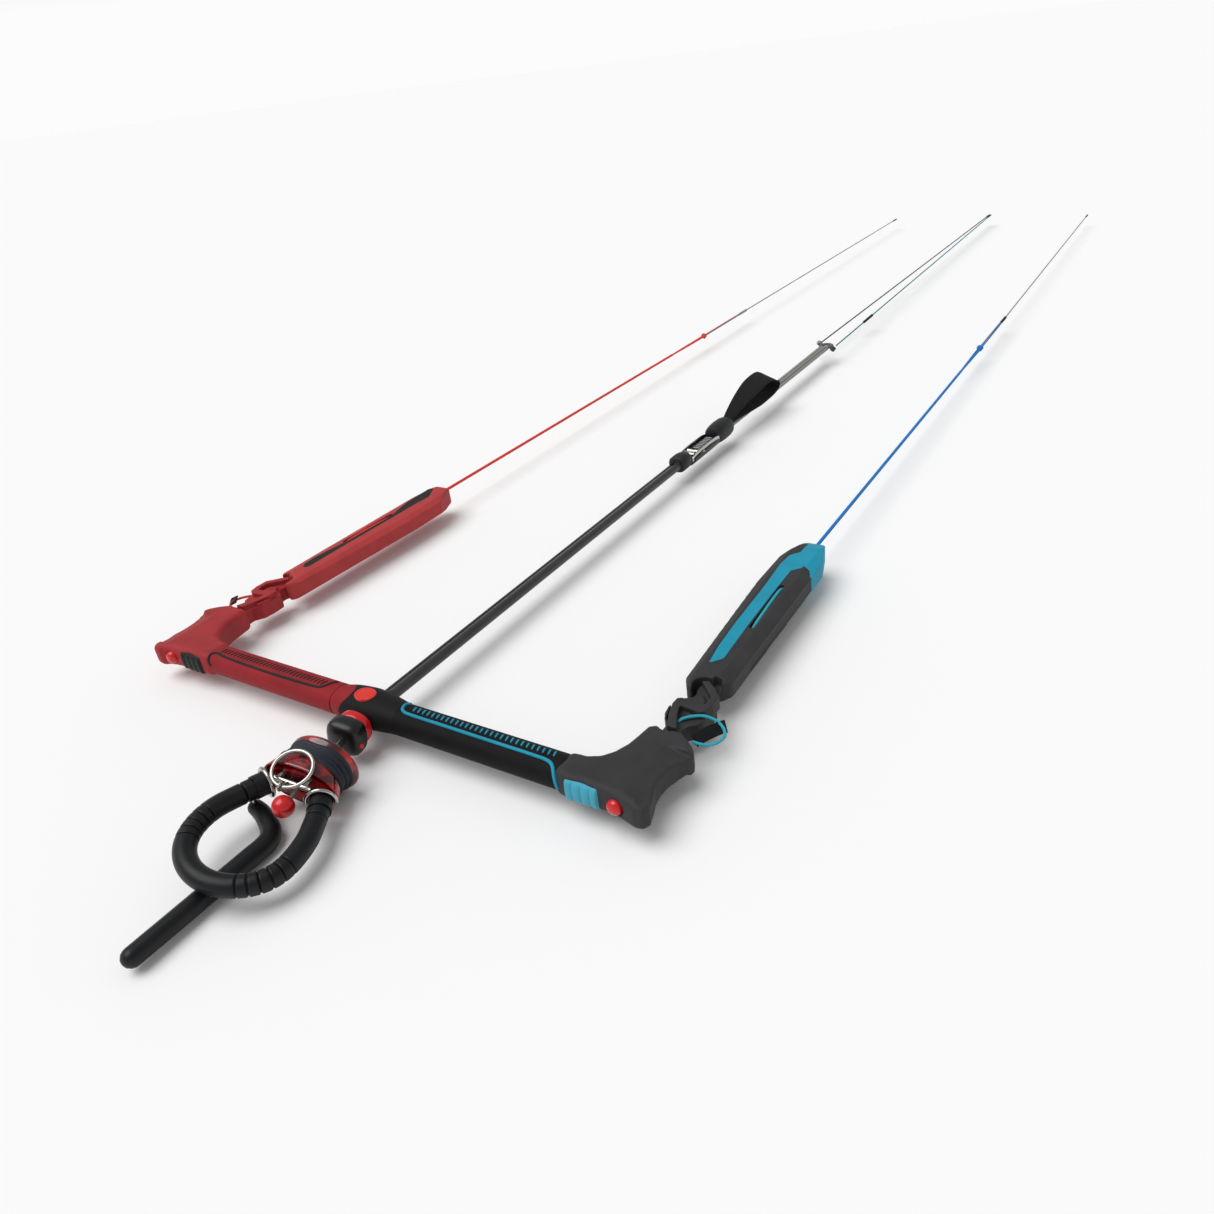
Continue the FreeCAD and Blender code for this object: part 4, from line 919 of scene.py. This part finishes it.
def build_front_lines():
    for name, side in SIDES:
        body = "front_lines"
        slot = "front_" + name
        start, end = mm(side * 14.4, 1018, 14), mm(side * 1.8, 2101, 14)
        cord("front_rope_" + name, [start, mm(side * 8.6, 1520, 14), end], 0.0021,
             M["dark_line" if side < 0 else "teal_line"], body, ["front_line_" + name], slot)
        knot_y = 1000 if side > 0 else 1026
        knot("front_knot_" + name, mm(side * 15.5, knot_y, 14), 4.0, M["strand" if side < 0 else "dark_line"],
             body, slot)
        if side > 0:
            sleeve = straight(start.lerp(end, 0.125), start.lerp(end, 0.165), 8)
            place(tube("front_sleeve", sleeve, 0.0021, M["sleeve_black"], 16, True), body, slot=slot)
        tip = straight(end - mm(side * -0.3, 26, 0), end, 8)
        place(tube("front_tip_" + name, tip, 0.0016, M["dark_line"], 12, True), body, slot=slot)


# ---- centre line, cleat, handle and strands

def build_centre():
    cover = tube("cover_tube", straight(mm(2.4, -13, 14), mm(2.4, 526, 14), 20), 0.0046, M["cover"], 32)
    place(cover, "centre_line", "depower_cover", "depower_core", slot="cover")
    flag = tube("flag_tube", straight(mm(-4.9, -13, 14), mm(-4.9, 526, 14), 20), 0.0025, M["cover_gloss"], 24)
    place(flag, "centre_line", slot="cover")

    rings = []
    for y, radius in (
            (516, 7.0), (516.6, 8.6), (518.6, 9.8), (530, 9.9), (536, 9.2), (539, 8.4), (539.6, 7.0)):
        rings.append([mm(a, y, 14.5 + b) for a, b in superellipse(radius * 1.12, radius, 2.4, 48)])
    place(loft("collar_low", rings, M["collar"]), "centre_line", "cleat_lower_collar", slot="collar")

    rings = []
    for y, radius in (
            (611, 8.0), (612, 10.0), (616, 11.6), (624, 12.6), (634, 13.0), (645, 12.8), (651, 11.8),
            (654, 10.4), (654.4, 8.2), (649, 7.4)):
        rings.append([mm(a, y, 15.0 + b) for a, b in superellipse(radius, radius * 0.98, 2.2, 56)])
    place(loft("collar_high", rings, M["collar"]), "centre_line", "cleat_upper_collar", slot="collar")
    build_cleat()

    strands = []
    places = ((-3.6, -0.4, -6.4), (-1.2, 2.6, -2.6), (1.6, 2.0, 1.8), (4.0, -0.8, 5.8))
    for number, (x, z, end_x) in enumerate(places):
        start = mm(x * 1.3, 640, AXIS_Z + z)
        end = mm(end_x, 1001, AXIS_Z + z * 0.6)
        strands.append(tube("strand_%d" % number, straight(start, end, 40), 0.0021, M["strand"], 12))
    bundle = join(strands[0], strands[1:])
    bundle.name = "trim_strands"
    place(bundle, "centre_line", "trim_lines", slot="trim_line")
    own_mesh(bundle)


def build_cleat():
    """Dark cleat body between polished rails, with a ridged jaw and a roller."""
    rings = []
    for y, half in ((541, 6.6), (543, 8.0), (560, 8.3), (590, 8.3), (610, 8.0), (613, 6.6)):
        rings.append([mm(a, y, 9.6 + b) for a, b in superellipse(half, 5.6, 4, 40)])
    cleat = loft("cleat_body", rings, M["stopper"])
    parts = []
    for side in (LEFT, RIGHT):
        rail = curve_through([
            (side * 9.3, 541, 12.5), (side * 9.3, 548, 15.5), (side * 9.5, 562, 16.6),
            (side * 9.5, 592, 16.6), (side * 9.3, 606, 15.8), (side * 9.2, 613, 13.5)], 60)
        parts.append(band("cleat_rail", rail, [2.7] * len(rail), 0.75, M["chrome"], Vector((0, 0, 1))))
        edge = curve_through([
            (side * 10.4, 545, 11), (side * 11.2, 560, 12), (side * 11.2, 590, 12), (side * 10.2, 610, 11)], 40)
        parts.append(band("cleat_cheek", edge, [2.6] * len(edge), 0.8, M["stopper"], Vector((0, 0, 1))))
        rings = []
        for reach, radius in ((8.2, 3.0), (11.6, 3.0), (12.0, 2.6), (12.0, 1.4), (11.6, 1.2)):
            rings.append([
                mm(side * reach, 566 + radius * math.cos(a), 13 + radius * math.sin(a)) for a in turn(28)])
        parts.append(loft("cleat_pin", rings, M["chrome"]))
    rings = []
    for step in range(61):
        y = 568 + 38 * step / 60
        ripple = 1.5 * abs(math.sin(math.pi * (y - 568) / 4.75))
        rings.append([
            mm(a * 6.4, y, 12.0 + b * (4.2 + (ripple if b > 0 else 0)))
            for a, b in superellipse(1, 1, 4, 36)])
    parts.append(loft("cleat_teeth", rings, M["cover_gloss"]))
    for y, radius, height in ((551, 4.6, 14.2), (560.5, 3.4, 14.6)):
        rings = []
        for x, r in ((-7.4, 0.8), (-7.2, 1.0), (-4.6, 0.92), (0, 0.86), (4.6, 0.92), (7.2, 1.0), (7.4, 0.8)):
            rings.append([
                mm(x, y + radius * r * math.cos(a), height + radius * r * math.sin(a)) for a in turn(32)])
        parts.append(loft("cleat_roller", rings, M["chrome"]))
    join(cleat, parts)
    place(cleat, "centre_line", "cleat_frame", "cleat_jaw", slot="steel")


def build_handle():
    """Strap folded into a standing loop that widens away from the cleat."""
    keys = [
        (0, 657, 21), (-0.5, 680, 27.5), (-1, 705, 33.5), (-1.2, 735, 38.5), (-1.2, 762, 40.5),
        (-1, 782, 38.5), (-0.5, 795, 31), (0, 795, 23.5), (0, 782, 20.2), (0, 760, 19.2), (0, 730, 19.0),
        (0, 695, 19.4), (0, 657, 20),
    ]
    path = curve_through(keys, 150)
    widths = [5.0 + 8.4 * min(1.0, max(0.0, (point.y * 1000 - 652) / 85)) ** 0.8 for point in path]
    strap = band("handle_strap", path, widths, 1.3, M["webbing"], Vector((0.93, 0, -0.36)))
    place(strap, "handle", "trim_handle", slot="webbing")


# ---- release and chicken loop

# The release lies turned by ten degrees to one side and rolled by as much.
RELEASE = Matrix.Translation(mm(0, 0, AXIS_Z)) @ Matrix.Rotation(math.radians(10), 4, "Z")
RELEASE = RELEASE @ Matrix.Rotation(math.radians(10), 4, "Y")


def rel(u, v, h=0.0):
    """Point of the release frame: across, outwards from the hub centre, up."""
    return RELEASE @ mm(u, -v, h)


def oval(v, half_a, half_b, count=72, power=2.0, skew=0.0):
    return [rel(a + skew, v, b) for a, b in superellipse(half_a, half_b, power, count)]


def build_stopper():
    rings = []
    for v, half in (
            (27, 12.0), (27.8, 13.6), (30, 14.5), (36, 14.7), (39, 14.4), (41.5, 13.0), (42.8, 10.5),
            (43.2, 6.5), (43.3, 3.0)):
        rings.append(oval(v, half, half, 64, 3.4))
    place(loft("stopper_shell", rings, M["stopper"]), "centre_line", "stopper_handle", slot="stopper")
    rings = []
    for v, radius in ((17.8, 9.0), (18.6, 11.2), (20.5, 13.4), (26.4, 14.0), (27.4, 13.4)):
        rings.append(oval(v, radius, radius, 56, 2.3))
    place(loft("stopper_ring", rings, M["red_gloss"]), "centre_line", "stopper_collar", slot="stopper_red")
    path = [rel(13.4, 38, -2), rel(14.6, 38, -2)]
    dot = tube("stopper_dot", path, 0.0022, M["red_gloss"], 20, True)
    place(dot, "centre_line", slot="stopper_red")


# Along the hood: distance from the hub, half width, half height.
HOOD = [
    (63.6, 26.4, 21.8), (64.4, 28.0, 23.3), (66.4, 28.4, 24.0), (69, 26.8, 22.9), (72.5, 24.4, 21.0),
    (76, 24.0, 20.3), (82, 27.0, 19.6), (88, 30.3, 18.9), (92, 31.8, 18.2),
]
HOOD_INSIDE = [(92.6, 31.2, 17.6), (92.2, 29.4, 16.0), (86, 26.5, 15.6), (80, 23.4, 15.2)]


def build_hood():
    rings = [oval(67, 9, 8), oval(66, 16, 13.5), oval(64.1, 24.5, 19.6, skew=2.8)]
    rings += [oval(v, a, b, skew=hood_skew(v)) for v, a, b in smooth_steps(HOOD, 60)]
    rings += [oval(v, a, b) for v, a, b in HOOD_INSIDE]
    place(loft("hood_shell", rings, M["hood"]), "hood", "release_hood", slot="hood")

    rings = []
    for row in range(49):
        f = row / 48
        ring = []
        for a in turn(144):
            c, s = math.cos(a), math.sin(a)
            pinch = abs(s) ** 3
            low = 69.5 - 1.5 * pinch + 2.5 * pinch ** 4
            high = 83.0 + 1.0 * pinch - 3.0 * pinch ** 4
            v = low + (high - low) * f
            half_a, half_b = hood_size(v)
            rib = 1.3 * abs(math.sin((v - 68) / 3.4 * math.pi)) - 0.5
            lift = min(1.0, min(f, 1 - f) * 8) + rib * min(1.0, max(0.0, abs(c) - 0.45) * 3)
            ring.append(rel((half_a + lift) * c + hood_skew(v), v, (half_b + lift) * s))
        rings.append(ring)
    place(loft("hood_band", rings, M["hood_rubber"], sharp=60), "hood", "hood_grip", slot="hood_grip")


def hood_skew(v):
    """Shift to the right of the hood's end at the bar."""
    return 2.8 * max(0.0, (80 - v) / 16)


def hood_size(v):
    """Half width and half height of the hood."""
    for (v0, a0, b0), (v1, a1, b1) in zip(HOOD, HOOD[1:]):
        if v0 <= v <= v1:
            f = (v - v0) / (v1 - v0)
            return a0 + (a1 - a0) * f, b0 + (b1 - b0) * f
    return HOOD[-1][1:]


LOOP_CENTRE = 146.0
LOOP_RADIUS = 41.5
LEG = (24.6, 103.0)  # where the right leg leaves the shackle
LOOP_GROOVES = (0.035, 0.17, 0.20, 0.23, 0.26, 0.29, 0.60, 0.632, 0.664, 0.696, 0.728, 0.76, 0.965)


def loop_path():
    """Points of the hose from the left ferrule round to the right one."""
    reach = math.hypot(LEG[0], LOOP_CENTRE - LEG[1])
    spread = math.asin(LOOP_RADIUS / reach) - math.atan2(LEG[0], LOOP_CENTRE - LEG[1])
    length = math.sqrt(reach ** 2 - LOOP_RADIUS ** 2)
    across, out = math.sin(spread), math.cos(spread)
    leg = [6.5 + (length - 6.5) * step / 24 for step in range(24)]
    points = [(-LEG[0] - across * d, LEG[1] + out * d) for d in leg]
    open_angle = math.pi / 2 + spread
    for step in range(161):
        a = -open_angle + 2 * open_angle * step / 160
        points.append((LOOP_RADIUS * math.sin(a), LOOP_CENTRE + LOOP_RADIUS * math.cos(a)))
    points += [(LEG[0] + across * d, LEG[1] + out * d) for d in reversed(leg)]
    pulled = []
    for u, v in points:
        lean = math.sin(math.pi * min(1.0, max(0.0, (v - 104) / 76))) ** 2
        pulled.append((u - (4.2 if u > 0 else -1.0) * lean, v))
    return pulled


def build_loop():
    """Hose with the grooves of its bends and ferrules."""
    points = loop_path()
    fine = []
    for (u0, v0), (u1, v1) in zip(points, points[1:]):
        for k in range(4):
            fine.append((u0 + (u1 - u0) * k / 4, v0 + (v1 - v0) * k / 4))
    fine.append(points[-1])
    lengths = [0.0]
    for one, two in zip(fine, fine[1:]):
        lengths.append(lengths[-1] + math.dist(one, two))
    grooves = [lengths[-1] * f for f in LOOP_GROOVES]

    def radius(i):
        dip = sum(math.exp(-((lengths[i] - at) / 0.55) ** 2) for at in grooves)
        return (7.8 - 1.2 * min(1.0, dip)) * 0.001

    hose = tube("loop_hose", [rel(u, v) for u, v in fine], radius, M["hose"], 40)
    place(hose, "loop", "chicken_loop", slot="hose")


FINGER = [
    (-27, 110.5), (-20, 113), (-11, 118.5), (-4, 124), (0.2, 131), (0.6, 139), (-1.2, 150), (-5, 175),
    (-10, 208), (-15.2, 241),
]


def build_finger():
    """Hooked rod below the loop, thickest at its bend."""
    keys = [(i, u, v) for i, (u, v) in enumerate(FINGER)]
    path = [rel(u, v, -17.5) for _, u, v in smooth_steps(keys, 90)]

    def radius(i):
        return 0.0060 + 0.0013 * min(1.0, i / 30) - 0.0004 * max(0, i - 60) / 30

    place(tube("finger_rod", path, radius, M["hose"], 32, True), "finger", "chicken_finger", slot="hose")


def build_ball():
    u, v, h = 3.5, 115.5, 1.5
    rings = []
    for i in range(1, 20):
        a = math.pi * i / 20
        half = 7.0 if math.cos(a) < 0 else 8.0
        reach = 8.2 * math.sin(a) ** 0.9
        rings.append([
            rel(u + reach * math.cos(b), v + half * math.cos(a), h + reach * math.sin(b)) for b in turn(40)])
    ball = loft("ball_head", rings, M["red_gloss"])
    stub = tube("ball_rope", [rel(0.5, 91, 0.2), rel(3.5, 110, 1.5)], 0.0016, M["strand"], 12)
    join(ball, [stub])
    place(ball, "ball", "stopper_ball", slot="ball")


# ---- run

build_steering_line("left", LEFT)
build_steering_line("right", RIGHT)
build_front_lines()
build_centre()
build_hub()
for side_name, side_sign in SIDES:
    build_grip(side_name, side_sign)
    build_bar_end(side_name, side_sign)
    build_neck(side_name, side_sign)
    build_float(side_name, side_sign)
    build_bungee(side_name)
build_handle()
build_stopper()
build_hood()
build_loop()
build_finger()
build_ball()

CAD_LOOKS = {
    "hub_bushing": "body", "bar_tubes": "tube", "button_spring_left": "steel", "button_spring_right": "steel",
    "splitter_ring": "strand", "swivel_shaft": "chrome",
    "release_body": "hood", "hood_spring": "steel", "shackle": "chrome", "leash_ring": "chrome",
    "loop_ferrules": "hose", "finger_screw": "steel",
}
for node, look in CAD_LOOKS.items():
    mesh = frame["nodes"][node].data
    mesh.materials.clear()
    mesh.materials.append(M[look])

# ---- floor and light

FLOOR_HALF = 60
FLOOR_Z = -0.0112


def build_stage():
    """White floor under a white sky that darkens overhead, with one broad lamp."""
    floor_mesh = bpy.data.meshes.new("floor")
    corners = [(x * FLOOR_HALF, y * FLOOR_HALF, FLOOR_Z) for x, y in ((-1, -1), (1, -1), (1, 1), (-1, 1))]
    floor_mesh.from_pydata(corners, [], [(0, 1, 2, 3)])
    floor = bpy.data.objects.new("floor", floor_mesh)
    scene.collection.objects.link(floor)
    nodes, links, shader = new_material("floor")
    shader.inputs["Base Color"].default_value = (0.90, 0.90, 0.90, 1)
    shader.inputs["Roughness"].default_value = 0.9
    shader.inputs["Specular IOR Level"].default_value = 0.0
    floor_mesh.materials.append(M["floor"])

    world = bpy.data.worlds.new("studio")
    world.use_nodes = True
    nodes = world.node_tree.nodes
    links = world.node_tree.links
    coords = nodes.new("ShaderNodeTexCoord")
    split = nodes.new("ShaderNodeSeparateXYZ")
    links.new(coords.outputs["Generated"], split.inputs["Vector"])
    rise = nodes.new("ShaderNodeMath")
    rise.operation = "ABSOLUTE"
    links.new(split.outputs["Z"], rise.inputs[0])
    fade = nodes.new("ShaderNodeMapRange")
    fade.inputs["From Min"].default_value = 0.08
    fade.inputs["From Max"].default_value = 0.30
    fade.inputs["To Min"].default_value = 0.97
    fade.inputs["To Max"].default_value = 0.42
    links.new(rise.outputs["Value"], fade.inputs["Value"])
    links.new(fade.outputs["Result"], nodes["Background"].inputs["Strength"])
    nodes["Background"].inputs["Color"].default_value = (1, 1, 1, 1)
    scene.world = world

    data = bpy.data.lights.new("sky_lamp", "SUN")
    data.energy = 2.15
    data.angle = math.radians(50)
    lamp = bpy.data.objects.new("sky_lamp", data)
    lamp.rotation_mode = "QUATERNION"
    lamp.rotation_quaternion = Vector((0.35, 0.30, -1)).to_track_quat("-Z", "Y")
    scene.collection.objects.link(lamp)
    scene.view_settings.view_transform = "Standard"


build_stage()
